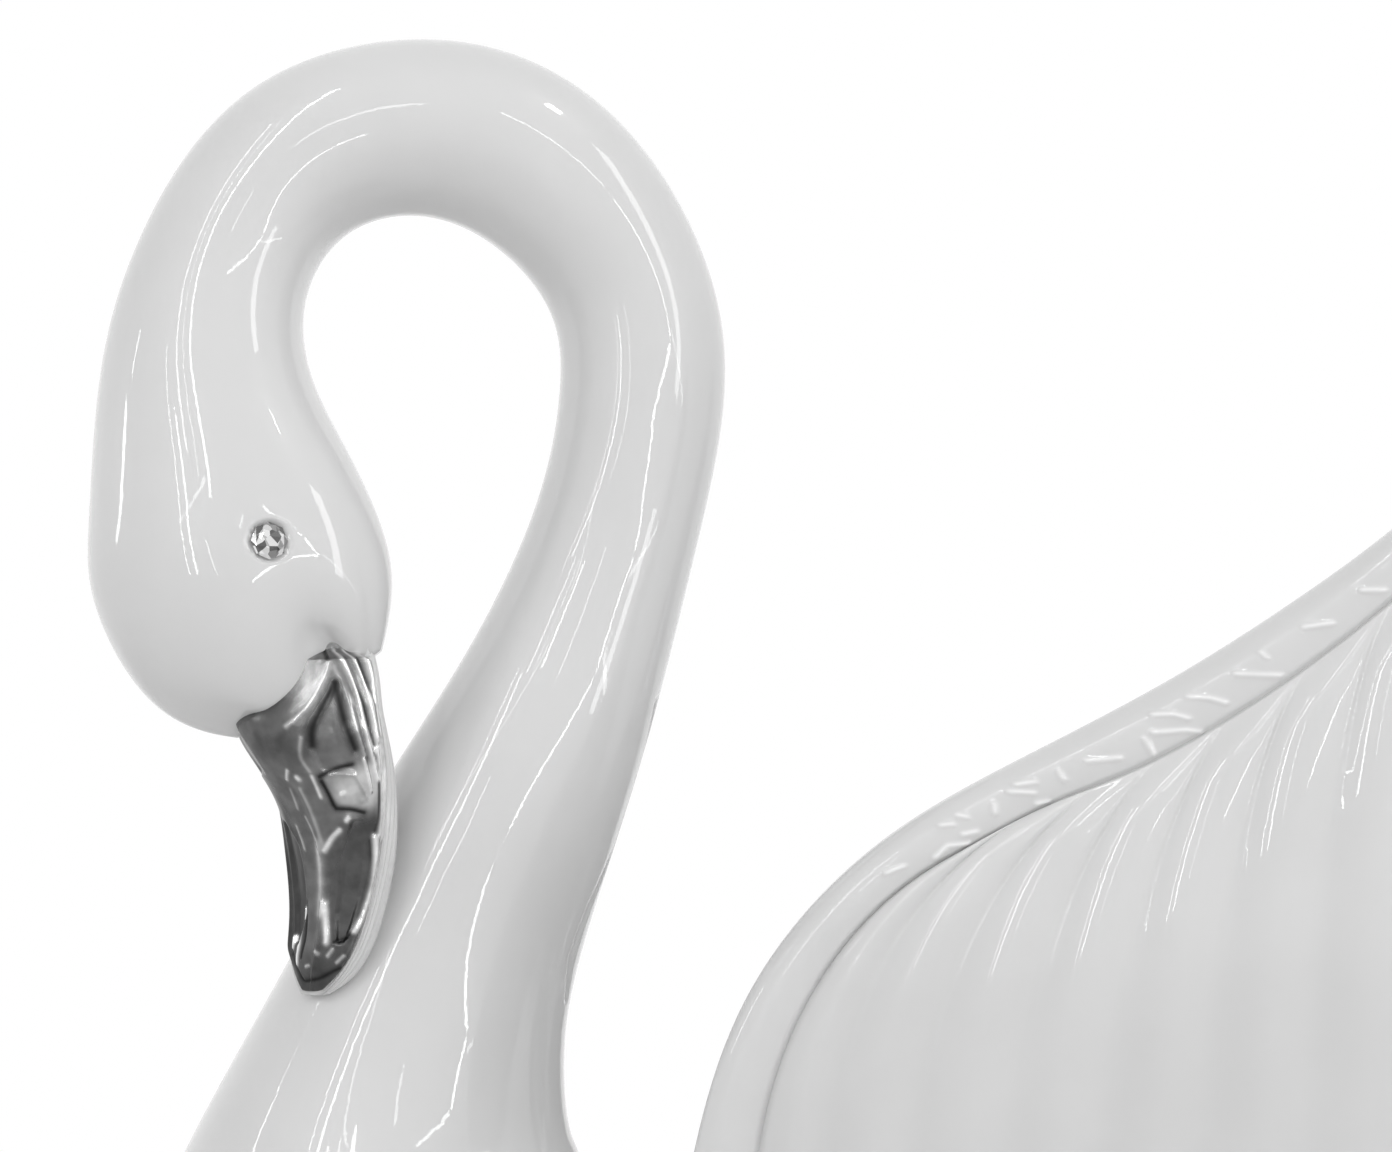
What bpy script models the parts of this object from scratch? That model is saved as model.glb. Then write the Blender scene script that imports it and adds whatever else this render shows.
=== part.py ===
"""Swan figurine: one glazed porcelain casting, a silver bill cover and two faceted eye stones.

The swan faces -X and its left side is towards -Y. All sizes below are in millimetres and degrees.
"""
import math

import bmesh
import bpy
import numpy as np
from mathutils import Vector

MM = 0.001

# Room left between pieces that are made apart.
COVER_CLEARANCE = 0.25
STONE_CLEARANCE = 0.15

# Stations of the body, neck and head: back point (x, z), belly point (x, z),
# width over height, and offset towards the swan's left.
STATIONS = [
    ((121.0, 76.0), (119.5, 72.5), 2.6, 0.0),
    ((112.0, 71.0), (108.0, 60.0), 2.0, 0.0),
    ((92.0, 64.0), (86.0, 40.0), 1.55, 0.0),
    ((68.0, 63.0), (61.0, 18.0), 1.15, 0.0),
    ((42.0, 65.0), (36.0, 3.0), 1.0, 0.0),
    ((14.0, 68.0), (10.0, -5.0), 0.96, 0.0),
    ((-14.0, 69.0), (-17.0, -6.0), 0.95, 0.0),
    ((-34.0, 70.0), (-48.0, -5.0), 0.93, 0.0),
    ((-44.0, 72.0), (-82.0, 3.0), 0.90, 0.0),
    ((-49.5, 74.5), (-107.0, 24.0), 0.86, 0.0),
    ((-52.5, 77.0), (-115.5, 47.0), 0.84, 0.0),
    ((-53.7, 80.4), (-107.9, 70.8), 0.87, 0.0),
    ((-54.9, 84.3), (-99.2, 88.1), 0.92, 0.0),
    ((-55.0, 96.4), (-89.5, 105.7), 0.96, 0.0),
    ((-50.9, 112.5), (-79.3, 124.7), 0.98, 0.4),
    ((-44.7, 132.2), (-68.3, 142.2), 1.0, 1.0),
    ((-39.1, 154.6), (-59.4, 161.1), 1.0, -1.4),
    ((-35.1, 175.5), (-56.1, 176.5), 1.0, -2.0),
    ((-37.6, 193.6), (-57.3, 186.7), 1.0, -1.5),
    ((-48.9, 211.4), (-63.6, 194.5), 1.0, 0.2),
    ((-69.2, 221.0), (-72.7, 198.6), 1.0, 2.5),
    ((-94.5, 214.8), (-82.3, 196.4), 1.0, 5.5),
    ((-109.0, 194.5), (-87.5, 187.9), 0.99, 8.8),
    ((-113.4, 176.2), (-86.5, 177.5), 0.92, 12.0),
    ((-114.2, 160.4), (-81.4, 167.1), 0.84, 14.5),
    ((-113.3, 148.7), (-76.9, 156.1), 0.79, 15.8),
    ((-106.1, 137.0), (-76.5, 148.1), 0.76, 16.6),
    ((-95.6, 133.4), (-77.5, 142.8), 0.74, 17.2),
]
HEAD_FIRST_STATION = 23
TWIST_FIRST_STATION = 20
RING_COUNT = 60
RING_SIDES = 24
END_DEPTH = 1.2

# Head: it is turned towards the swan's left, with a crease between forehead and cheek.
HEAD_TWIST = 30.0
CREASE_ANGLE = 87.0
CREASE_SPREAD = 19.0
CREASE_DEPTH = 1.9
CHEEK_ANGLE = 132.0
CHEEK_SPREAD = 26.0
CHEEK_SWELL = 0.8
FOREHEAD_DROP = 1.6
APEX_RISE = 3.6

# Eyes: faceted stones set in shallow sockets.
EYE_STATION = 24.79
EYE_ANGLE = 78.5
STONE_DIAMETER = 4.7
STONE_CROWN = 1.0
STONE_BACK = 1.2
STONE_GIRDLE = 0.3
STONE_SINK = 0.35
STONE_SIDES = 8
SOCKET_REACH = 4.0

# Bill stations: height, x of the left contour, offset to the left, half width,
# crown height, keel depth, roll towards the swan's left, and how far round the cover reaches.
BILL_STATIONS = [
    (147.0, -93.0, 17.0, 7.4, 6.0, 5.4, 50.0, 97.0),
    (140.7, -93.4, 17.2, 8.8, 7.2, 6.0, 50.0, 100.0),
    (135.8, -95.5, 17.2, 10.2, 8.8, 6.6, 52.0, 100.0),
    (131.3, -95.0, 17.1, 10.2, 9.5, 6.8, 53.0, 96.0),
    (124.9, -91.0, 16.6, 8.5, 7.2, 6.2, 54.0, 88.0),
    (117.6, -89.2, 15.8, 7.9, 4.4, 5.2, 54.0, 74.0),
    (110.2, -88.7, 15.3, 6.8, 3.5, 4.4, 55.0, 65.0),
    (105.3, -89.0, 15.0, 6.0, 3.1, 3.5, 56.0, 59.0),
    (102.0, -88.4, 14.8, 4.3, 2.4, 2.6, 57.0, 54.0),
    (100.1, -87.6, 14.7, 2.4, 1.1, 1.3, 57.0, 50.0),
]
BILL_RINGS = 17
BILL_ARC_STEPS = 14
COVER_THICKNESS = 0.7
TIP_SHARE = 0.6
COVER_LIP = 0.5
COVER_EDGE_GAP = 3.0
LIP_TOP = 108.2
LIP_RUN = 7.0
NAIL_HEIGHT = 102.8
NAIL_RUN = 2.5
COVER_RINGS = 29
COVER_ARC_STEPS = 22

# Chased relief of the cover. Shares run from 0 on the ridge to 1 at the rim, and a panel's
# edges are (height, share) points from its foot to its top.
PANEL_DEPTH = 0.55
PANEL_SLOPE = 0.07
PANEL_END = 0.9
RELIEF_RUN = 3.5
UPPER_PANEL = (((127.0, 0.30), (131.0, 0.27), (139.2, 0.53)), ((127.0, 0.70), (139.2, 0.60)))
LOWER_PANEL = (((105.8, 0.44), (110.0, 0.29), (118.5, 0.32), (122.0, 0.52)),
               ((105.8, 0.72), (114.0, 0.80), (122.0, 0.76)))
RIM_LINES = ((0.66, 0.08), (0.76, 0.05))
RIM_LINES_TOP = 142.0
RIM_LINES_FOOT = 126.0
RIM_LINE_SPREAD = 0.025
RIM_LINE_HEIGHT = 0.25
COVER_BEAD = 0.45
COVER_BEAD_SHARE = 0.90
COVER_BEAD_SPREAD = 0.05
RIDGE_SHARE = 0.07
RIDGE_SPREAD = 0.07
RIDGE_TOP = 128.0
RIDGE_HEIGHT = 0.4

# Wings: curves that run from the body up each feather, given by their four control points
# (x, z, distance from the middle) at a few feathers counted from the front.
FEATHER_CURVES = {
    0: ((-22.0, 38.0, 26.0), (-39.1, 74.9, 44.0), (-26.0, 107.7, 47.5), (-3.4, 117.5, 49.0)),
    1: ((-17.0, 38.0, 27.0), (-28.0, 78.2, 48.0), (-18.9, 110.4, 49.5), (5.0, 122.1, 49.8)),
    3: ((-2.0, 38.0, 28.0), (-1.5, 78.4, 54.0), (3.0, 111.0, 52.5), (18.8, 128.0, 51.0)),
    6: ((36.0, 39.0, 27.0), (37.6, 87.8, 57.0), (37.0, 127.3, 55.5), (46.6, 146.5, 54.0)),
    9: ((70.0, 42.0, 20.0), (74.5, 84.2, 48.0), (73.0, 141.7, 58.0), (80.1, 187.7, 57.0)),
    10: ((77.0, 45.0, 18.0), (82.1, 80.1, 42.0), (83.5, 127.3, 55.0), (89.6, 170.2, 53.0)),
    12: ((87.9, 50.0, 14.0), (92.2, 72.2, 30.0), (95.0, 95.0, 40.0), (101.4, 125.7, 38.0)),
    14: ((97.4, 57.1, 10.0), (100.9, 65.5, 16.0), (103.6, 74.5, 20.0), (107.7, 85.0, 21.0)),
}
LEADING_EDGE = [
    (-29.0, 38.0, 24.0), (-38.5, 56.9, 36.0), (-37.0, 80.9, 42.0), (-30.7, 99.2, 45.0),
    (-14.1, 118.4, 47.0), (2.3, 128.1, 48.0), (20.4, 137.6, 49.5), (35.7, 147.2, 51.0),
    (47.2, 155.6, 52.5), (60.1, 167.6, 54.0), (70.6, 178.6, 56.0), (80.1, 187.9, 57.0),
]
TIP_FEATHER = 9
LAST_FEATHER = max(FEATHER_CURVES)
WING_THICKNESS = 3.6
BAND_SWELL = 1.3
FLUTE_DEPTH = 1.1
LOBE_LENGTH = 3.2
STEPS_PER_FEATHER = 3
FEATHER_STEPS = 12
BAND_STEPS = (0.0, 0.05, 0.2, 0.45, 0.75, 1.0)

GLAZE = ("white_glaze", (0.76, 0.76, 0.75), 0.12, 0.0)
SILVER = ("silver_plate", (0.80, 0.80, 0.80), 0.08, 1.0)
STONE = ("clear_stone", (0.82, 0.84, 0.86), 0.03, 0.6)


def clear_scene():
    for obj in list(bpy.data.objects):
        bpy.data.objects.remove(obj, do_unlink=True)


def cubic_spline(knots, values, at):
    """Natural cubic spline through rows of values."""
    x = np.asarray(knots, float)
    y = np.asarray(values, float)
    step = np.diff(x)[:, None]
    slope = np.diff(y, axis=0) / step
    system = np.eye(len(x))
    bend = np.zeros_like(y)
    for i in range(1, len(x) - 1):
        system[i, i - 1:i + 2] = (step[i - 1, 0], 2 * (step[i - 1, 0] + step[i, 0]), step[i, 0])
        bend[i] = 6 * (slope[i] - slope[i - 1])
    bend = np.linalg.solve(system, bend)
    at = np.clip(np.asarray(at, float), x[0], x[-1])
    i = np.clip(np.searchsorted(x, at, side="right") - 1, 0, len(x) - 2)
    left = (at - x[i])[:, None]
    right = (x[i + 1] - at)[:, None]
    h = step[i]
    return ((bend[i] * right ** 3 + bend[i + 1] * left ** 3) / (6 * h)
            + (y[i] / h - bend[i] * h / 6) * right
            + (y[i + 1] / h - bend[i + 1] * h / 6) * left)


def calm_curve(knots, values, at):
    """Cubic curve through rows of values that never swings past them."""
    x = np.asarray(knots, float)
    y = np.asarray(values, float)
    step = np.diff(x)[:, None]
    slope = np.diff(y, axis=0) / step
    tangent = np.zeros_like(y)
    tangent[0] = slope[0]
    tangent[-1] = slope[-1]
    before, after = slope[:-1], slope[1:]
    same = before * after > 0
    mean = np.where(same, before + after, 1.0)
    tangent[1:-1] = np.where(same, 2 * before * after / mean, 0.0)
    at = np.clip(np.asarray(at, float), x[0], x[-1])
    i = np.clip(np.searchsorted(x, at, side="right") - 1, 0, len(x) - 2)
    h = step[i]
    s = ((at - x[i])[:, None]) / h
    return ((1 + 2 * s) * (1 - s) ** 2 * y[i] + s * (1 - s) ** 2 * h * tangent[i]
            + s * s * (3 - 2 * s) * y[i + 1] + s * s * (s - 1) * h * tangent[i + 1])


def smooth(value):
    value = np.clip(value, 0.0, 1.0)
    return value * value * (3 - 2 * value)


def bump(value, middle, spread):
    """Bell curve on both sides of zero."""
    return np.exp(-((np.abs(value) - middle) / spread) ** 2)


def rounded(value):
    """Quarter-circle rise from 0 at an edge to 1 inside it."""
    return np.sqrt(1 - (1 - np.clip(value, 0.0, 1.0)) ** 2)


def swan_rings(at, angle, grow=0.0):
    """Points of the body, neck and head at station numbers and angles from the back."""
    rows = [(*back, *belly, ratio, left) for back, belly, ratio, left in STATIONS]
    knots = np.arange(len(rows))
    row = cubic_spline(knots, rows, at)[:, None, :]
    angle = np.asarray(angle, float)[None, :]
    at = np.asarray(at, float)[:, None]
    across_x = (row[..., 0] - row[..., 2]) / 2
    across_z = (row[..., 1] - row[..., 3]) / 2
    half = np.hypot(across_x, across_z)
    last = len(rows) - 1
    head = smooth((at - HEAD_FIRST_STATION) / (last - HEAD_FIRST_STATION))
    turn = smooth((at - TWIST_FIRST_STATION) / (HEAD_FIRST_STATION - TWIST_FIRST_STATION))
    true_angle = (angle - HEAD_TWIST * turn + 180) % 360 - 180
    swell = (CHEEK_SWELL * head * bump(true_angle, CHEEK_ANGLE, CHEEK_SPREAD)
             - CREASE_DEPTH * head ** 2 * bump(true_angle, CREASE_ANGLE, CREASE_SPREAD) + grow)
    drop = head ** 4 * (FOREHEAD_DROP * bump(true_angle, CREASE_ANGLE / 2, CREASE_ANGLE / 4)
                        - APEX_RISE * bump(true_angle, CREASE_ANGLE, CREASE_ANGLE / 5))
    radians = np.radians(angle)
    lengthwise = (half + swell) * np.cos(radians)
    sideways = (half * row[..., 4] + swell) * np.sin(radians)
    x = (row[..., 0] + row[..., 2]) / 2 + across_x / half * lengthwise
    z = (row[..., 1] + row[..., 3]) / 2 + across_z / half * lengthwise - drop
    y = -(row[..., 5] + sideways)
    return np.stack([x, y, z], axis=-1)


def close_ends(rings, depth):
    """Rounds both ends of a loft off to a small ring, so that it closes without a spike."""
    rings = list(rings)
    for end, neighbour in ((0, 1), (-1, -2)):
        ring = rings[end]
        middle = ring.mean(axis=0)
        out = middle - rings[neighbour].mean(axis=0)
        out = out / np.linalg.norm(out)
        caps = [middle + (ring - middle) * s + out * depth * h for s, h in ((0.72, 0.7), (0.3, 1.0))]
        rings = caps[::-1] + rings if end == 0 else rings + caps
    return rings


def mesh_object(name, bm, collection):
    bmesh.ops.recalc_face_normals(bm, faces=bm.faces)
    mesh = bpy.data.meshes.new(name)
    bm.to_mesh(mesh)
    bm.free()
    obj = bpy.data.objects.new(name, mesh)
    collection.objects.link(obj)
    return obj


def loft(name, rings, collection):
    """Closed skin through rings that have the same number of points."""
    bm = bmesh.new()
    rows = [[bm.verts.new(Vector(p) * MM) for p in ring] for ring in rings]
    for one, two in zip(rows, rows[1:]):
        for i in range(len(one)):
            j = (i + 1) % len(one)
            bm.faces.new((one[i], one[j], two[j], two[i]))
    bm.faces.new(rows[0])
    bm.faces.new(rows[-1])
    return mesh_object(name, bm, collection)


def make_swan_body(name, collection, grow=0.0):
    at = np.linspace(0, len(STATIONS) - 1, RING_COUNT)
    angle = np.arange(RING_SIDES) * 360 / RING_SIDES
    rings = close_ends(swan_rings(at, angle, grow), END_DEPTH)
    return loft(name, rings, collection)


def cut_flat_base(obj):
    """Cuts the belly off at the level that the figurine stands on."""
    bm = bmesh.new()
    bm.from_mesh(obj.data)
    geometry = bm.verts[:] + bm.edges[:] + bm.faces[:]
    bmesh.ops.bisect_plane(bm, geom=geometry, plane_co=(0, 0, 0), plane_no=(0, 0, -1), clear_outer=True)
    bmesh.ops.holes_fill(bm, edges=[e for e in bm.edges if e.is_boundary])
    bmesh.ops.recalc_face_normals(bm, faces=bm.faces)
    bm.to_mesh(obj.data)
    bm.free()


def bill_rows(count, lip):
    """Smooth rows between the bill's stations, with the tip drawn back by the lip."""
    at = np.linspace(0, len(BILL_STATIONS) - 1, count)
    rows = cubic_spline(np.arange(len(BILL_STATIONS)), BILL_STATIONS, at)
    near_tip = smooth((LIP_TOP - rows[:, 0]) / LIP_RUN)
    rows[:, 0] += lip * near_tip
    return rows


def bill_point(row, angle, inset=0.0):
    """A point of the bill's section, by its angle from the ridge."""
    height, left_x, left, half_width, crown, keel, roll, _ = row
    roll = math.radians(roll)
    reach = math.hypot(crown * math.cos(roll), half_width * math.sin(roll))
    radians = math.radians(angle)
    depth = crown if abs(angle) <= 90 else keel
    up = (depth - inset) * math.cos(radians)
    side = (half_width - inset) * math.sin(radians)
    x = left_x + reach - up * math.cos(roll) + side * math.sin(roll)
    y = -left - up * math.sin(roll) - side * math.cos(roll)
    return (x, y, height)


def cover_thickness(row):
    """The cover's own thickness, less where the bill is too low for it near the tip."""
    return min(COVER_THICKNESS, TIP_SHARE * row[4])


def under_cover(row, angle, inset):
    """A point below the cover, which is flat across the bill where the cover's nail is solid."""
    rim = row[-1]
    share = (angle + rim) / (2 * rim)
    flat = Vector(bill_point(row, -rim, inset)).lerp(bill_point(row, rim, inset), share)
    full = float(smooth((row[0] - NAIL_HEIGHT) / NAIL_RUN))
    return tuple(flat.lerp(bill_point(row, angle, inset), full))


def make_bill_core(name, collection):
    """White bill: full below the rim, and stepped in above it for the cover."""
    rings = []
    for row, covered in zip(bill_rows(BILL_RINGS, 0.0), bill_rows(BILL_RINGS, COVER_LIP)):
        rim = row[-1]
        arc = np.linspace(-rim, rim, BILL_ARC_STEPS + 1)
        keel = np.linspace(rim, 360 - rim, BILL_ARC_STEPS + 1)
        room = cover_thickness(row) + COVER_CLEARANCE
        ring = [under_cover(covered, a, room) for a in arc]
        ring += [bill_point(row, a if a <= 180 else a - 360) for a in keel]
        rings.append(np.array(ring))
    return loft(name, rings, collection)


def recess(share, height, left, right):
    """1 inside a sunk panel; its two edges run through (height, share) points."""
    left_edge = np.interp(height, *zip(*left))
    right_edge = np.interp(height, *zip(*right))
    ends = smooth((height - left[0][0]) / PANEL_END) * smooth((left[-1][0] - height) / PANEL_END)
    return ends * smooth((share - left_edge) / PANEL_SLOPE) * smooth((right_edge - share) / PANEL_SLOPE)


def cover_relief(share, height):
    """Height of the cover's chased relief, by share of the way out to its rim."""
    side = np.abs(share)
    along = np.clip((RIM_LINES_TOP - height) / (RIM_LINES_TOP - RIM_LINES_FOOT), 0, 1)
    lines = sum(bump(side, start + run * along, RIM_LINE_SPREAD) for start, run in RIM_LINES)
    lines = lines * smooth((height - RIM_LINES_FOOT) / RELIEF_RUN)
    bead = bump(side, COVER_BEAD_SHARE, COVER_BEAD_SPREAD) * smooth((height - NAIL_HEIGHT) / RELIEF_RUN)
    ridge = bump(share, RIDGE_SHARE, RIDGE_SPREAD) * smooth((RIDGE_TOP - height) / RELIEF_RUN)
    panels = recess(side, height, *UPPER_PANEL) + recess(side, height, *LOWER_PANEL)
    return RIM_LINE_HEIGHT * lines + COVER_BEAD * bead + RIDGE_HEIGHT * ridge - PANEL_DEPTH * panels


def make_bill_cover(name, collection, swan):
    """Thin plated shell over the upper bill, with sunk panels, a ridge and a bead along its rim."""
    shares = np.linspace(-1, 1, COVER_ARC_STEPS + 1)
    rings = []
    for row in bill_rows(COVER_RINGS, COVER_LIP):
        inner = cover_thickness(row)
        limit = row[-1] - COVER_EDGE_GAP
        relief = cover_relief(shares, row[0]) * inner / COVER_THICKNESS
        outer = [bill_point(row, share * limit, -rise) for share, rise in zip(shares, relief)]
        under = [under_cover(row, share * limit, inner) for share in shares[::-1]]
        rings.append(np.array(outer + under))
    cover = loft(name, rings, collection)
    boolean(cover, swan, "DIFFERENCE")
    return cover


def feather_point(feather, along):
    """Middle surface of the wing's fluted field: feather number and share of its length."""
    keys = sorted(FEATHER_CURVES)
    rows = [sum(FEATHER_CURVES[k], ()) for k in keys]
    points = calm_curve(keys, rows, feather).reshape(-1, 4, 3)
    t = np.asarray(along, float)[:, None]
    blend = ((1 - t) ** 3, 3 * t * (1 - t) ** 2, 3 * t * t * (1 - t), t ** 3)
    return sum(b * points[:, i] for i, b in enumerate(blend))


def edge_fade(feather, along):
    """Share of the wing's thickness, which rounds off to nothing at each free edge."""
    trailing = rounded((1 - along) / 0.1)
    at_tip = rounded((TIP_FEATHER - feather) / 0.6)
    end = np.where(feather >= TIP_FEATHER, trailing, np.maximum(trailing, at_tip))
    rear = rounded((LAST_FEATHER - feather) / 0.5)
    return end * rear * rounded(along / 0.06)


def field_sheets(feather, along):
    """Outer and inner points of the fluted field."""
    middle = feather_point(feather, along)
    past_tip = smooth((feather - TIP_FEATHER) / 0.3)
    arch = np.abs(np.sin(np.pi * feather)) ** 0.7
    lobe = LOBE_LENGTH * past_tip * arch * smooth((along - 0.8) / 0.2)
    tangent = feather_point(feather, along) - feather_point(feather, along - 0.02)
    tangent /= np.linalg.norm(tangent, axis=1)[:, None]
    middle = middle + tangent * lobe[:, None]
    fade = edge_fade(feather, along)
    tucked = smooth(along / 0.3) * smooth((1 - along) / 0.15)
    flute = FLUTE_DEPTH * arch * tucked * fade
    half = WING_THICKNESS / 2 * fade
    return sheet_pair(middle, half + flute, half)


def sheet_pair(middle, outward, inward):
    outer = np.stack([middle[:, 0], -(middle[:, 2] + outward), middle[:, 1]], axis=-1)
    inner = np.stack([middle[:, 0], -(middle[:, 2] - inward), middle[:, 1]], axis=-1)
    return outer, inner


def wing_steps():
    feather = np.linspace(0, LAST_FEATHER, LAST_FEATHER * STEPS_PER_FEATHER + 1)
    along = (1 - np.cos(np.linspace(0, np.pi, FEATHER_STEPS + 1))) / 2
    return feather, 0.35 * along + 0.65 * np.linspace(0, 1, FEATHER_STEPS + 1)


def band_inner_edge():
    """Feather number and share of length along the inner edge of the leading band."""
    feather, along = wing_steps()
    to_tip = feather[(feather > 0) & (feather <= TIP_FEATHER)]
    numbers = np.concatenate([np.zeros(len(along)), to_tip])
    shares = np.concatenate([along, np.ones(len(to_tip))])
    return numbers, shares


def distance_share(points):
    run = np.concatenate([[0], np.cumsum(np.linalg.norm(np.diff(points, axis=0), axis=1))])
    return run / run[-1]


def band_sheets(share):
    """Outer and inner points of the leading band, a share of the way in from its edge."""
    numbers, shares = band_inner_edge()
    inner_edge = feather_point(numbers, shares)
    edge_knots = distance_share(np.array(LEADING_EDGE))
    outer_edge = cubic_spline(edge_knots, LEADING_EDGE, distance_share(inner_edge))
    middle = outer_edge + (inner_edge - outer_edge) * share
    fade = edge_fade(numbers, shares)
    half = WING_THICKNESS / 2 * fade * rounded(share / 0.4)
    swell = BAND_SWELL * fade * math.sin(math.pi * share ** 0.8)
    return sheet_pair(middle, half + swell, half + 0.5 * swell)


def make_wing(name, collection, side):
    """Closed wing from two skins that meet at the free edges; side is 1 left, -1 right."""
    feather, along = wing_steps()
    columns = [field_sheets(np.full(len(along), f), along) for f in feather]
    bands = [band_sheets(share) for share in BAND_STEPS]
    bm = bmesh.new()
    for skin in (0, 1):
        for grid in ([c[skin] for c in columns], [b[skin] for b in bands]):
            rows = [[bm.verts.new(Vector((p[0], p[1] * side, p[2])) * MM) for p in line] for line in grid]
            for one, two in zip(rows, rows[1:]):
                for i in range(len(one) - 1):
                    bm.faces.new((one[i], one[i + 1], two[i + 1], two[i]))
    bmesh.ops.remove_doubles(bm, verts=bm.verts, dist=0.00002)
    return mesh_object(name, bm, collection)


def eye_frame(side):
    """Centre and outward direction of the head's surface at an eye."""
    angle = HEAD_TWIST + EYE_ANGLE * side
    here, along, around = (Vector(swan_rings([s], [a])[0, 0]) for s, a in
                           ((EYE_STATION, angle), (EYE_STATION + 0.05, angle), (EYE_STATION, angle + 2)))
    normal = (along - here).cross(around - here).normalized()
    middle = Vector(swan_rings([EYE_STATION], [angle, angle + 180])[0].mean(axis=0))
    if normal.dot(here - middle) < 0:
        normal = -normal
    return here, normal


def stone_rings(profile, sides):
    rings = []
    for radius, height, turn in profile:
        angles = (np.arange(sides) + turn) * 2 * math.pi / sides
        rings.append(np.stack([radius * np.cos(angles), radius * np.sin(angles), np.full(sides, height)], -1))
    return rings


def place(obj, centre, normal):
    obj.rotation_mode = "QUATERNION"
    obj.rotation_quaternion = normal.to_track_quat("Z", "Y")
    obj.location = centre * MM


def make_eye_stone(name, collection, side):
    radius = STONE_DIAMETER / 2
    profile = [(radius * 0.55, -STONE_BACK, 0), (radius, -STONE_GIRDLE, 0), (radius, 0.0, 0),
               (radius * 0.78, STONE_CROWN * 0.6, 0.5), (radius * 0.5, STONE_CROWN, 0)]
    stone = loft(name, stone_rings(profile, STONE_SIDES), collection)
    centre, normal = eye_frame(side)
    place(stone, centre - normal * STONE_SINK, normal)
    return stone


def make_eye_socket(name, collection, side):
    radius = STONE_DIAMETER / 2 + STONE_CLEARANCE
    profile = [(radius, -STONE_BACK - STONE_CLEARANCE, 0), (radius, STONE_SINK + SOCKET_REACH, 0)]
    socket = loft(name, stone_rings(profile, STONE_SIDES * 3), collection)
    centre, normal = eye_frame(side)
    place(socket, centre - normal * STONE_SINK, normal)
    return socket


def boolean(obj, cutter, operation):
    modifier = obj.modifiers.new(operation.lower() + "_" + cutter.name, "BOOLEAN")
    modifier.operation = operation
    modifier.solver = "EXACT"
    modifier.object = cutter


def make_material(name, colour, roughness, metallic):
    material = bpy.data.materials.new(name)
    material.use_nodes = True
    shader = material.node_tree.nodes["Principled BSDF"]
    shader.inputs["Base Color"].default_value = (*colour, 1.0)
    shader.inputs["Roughness"].default_value = roughness
    shader.inputs["Metallic"].default_value = metallic
    return material


def new_collection(name, parent):
    collection = bpy.data.collections.new(name)
    parent.children.link(collection)
    return collection


def hide_cutter(cutter):
    cutter.hide_render = True
    cutter.display_type = "WIRE"


def build():
    clear_scene()
    swan_figurine = new_collection("swan_figurine", bpy.context.scene.collection)
    cutters = new_collection("cutters", bpy.context.scene.collection)

    swan = make_swan_body("porcelain_swan", swan_figurine)
    cut_flat_base(swan)
    joined = [make_wing("left_wing", cutters, 1), make_wing("right_wing", cutters, -1),
              make_bill_core("bill_core", cutters)]
    for piece in joined:
        boolean(swan, piece, "UNION")
    sockets = [make_eye_socket("left_socket", cutters, 1), make_eye_socket("right_socket", cutters, -1)]
    for socket in sockets:
        boolean(swan, socket, "DIFFERENCE")

    grown = make_swan_body("cover_cutter", cutters, COVER_CLEARANCE)
    cover = make_bill_cover("bill_cover", swan_figurine, grown)
    stones = [make_eye_stone("left_eye_stone", swan_figurine, 1),
              make_eye_stone("right_eye_stone", swan_figurine, -1)]
    for cutter in joined + sockets + [grown]:
        hide_cutter(cutter)

    swan.data.materials.append(make_material(*GLAZE))
    cover.data.materials.append(make_material(*SILVER))
    stone_material = make_material(*STONE)
    for stone in stones:
        stone.data.materials.append(stone_material)


build()
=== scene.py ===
"""Looks of the swan figurine: glazed porcelain, silver bill cover and faceted eye stones.

The surfaces are the part's own curves, sampled finely. Sizes are in millimetres and degrees.
"""

import math

import bpy
import numpy as np
from mathutils import Matrix, Vector


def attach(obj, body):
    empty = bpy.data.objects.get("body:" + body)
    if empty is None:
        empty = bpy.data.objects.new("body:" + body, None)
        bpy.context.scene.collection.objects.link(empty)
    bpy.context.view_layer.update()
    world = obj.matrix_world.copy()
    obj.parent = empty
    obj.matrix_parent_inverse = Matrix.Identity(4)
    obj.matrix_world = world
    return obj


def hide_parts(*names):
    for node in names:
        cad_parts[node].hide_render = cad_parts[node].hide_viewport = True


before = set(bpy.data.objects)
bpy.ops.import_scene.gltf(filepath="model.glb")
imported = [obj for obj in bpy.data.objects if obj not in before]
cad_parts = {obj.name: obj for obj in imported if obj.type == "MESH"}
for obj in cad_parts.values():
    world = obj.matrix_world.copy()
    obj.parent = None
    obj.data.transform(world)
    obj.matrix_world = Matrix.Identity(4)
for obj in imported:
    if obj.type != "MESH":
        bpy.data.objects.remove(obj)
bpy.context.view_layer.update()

MM = 0.001

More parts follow.
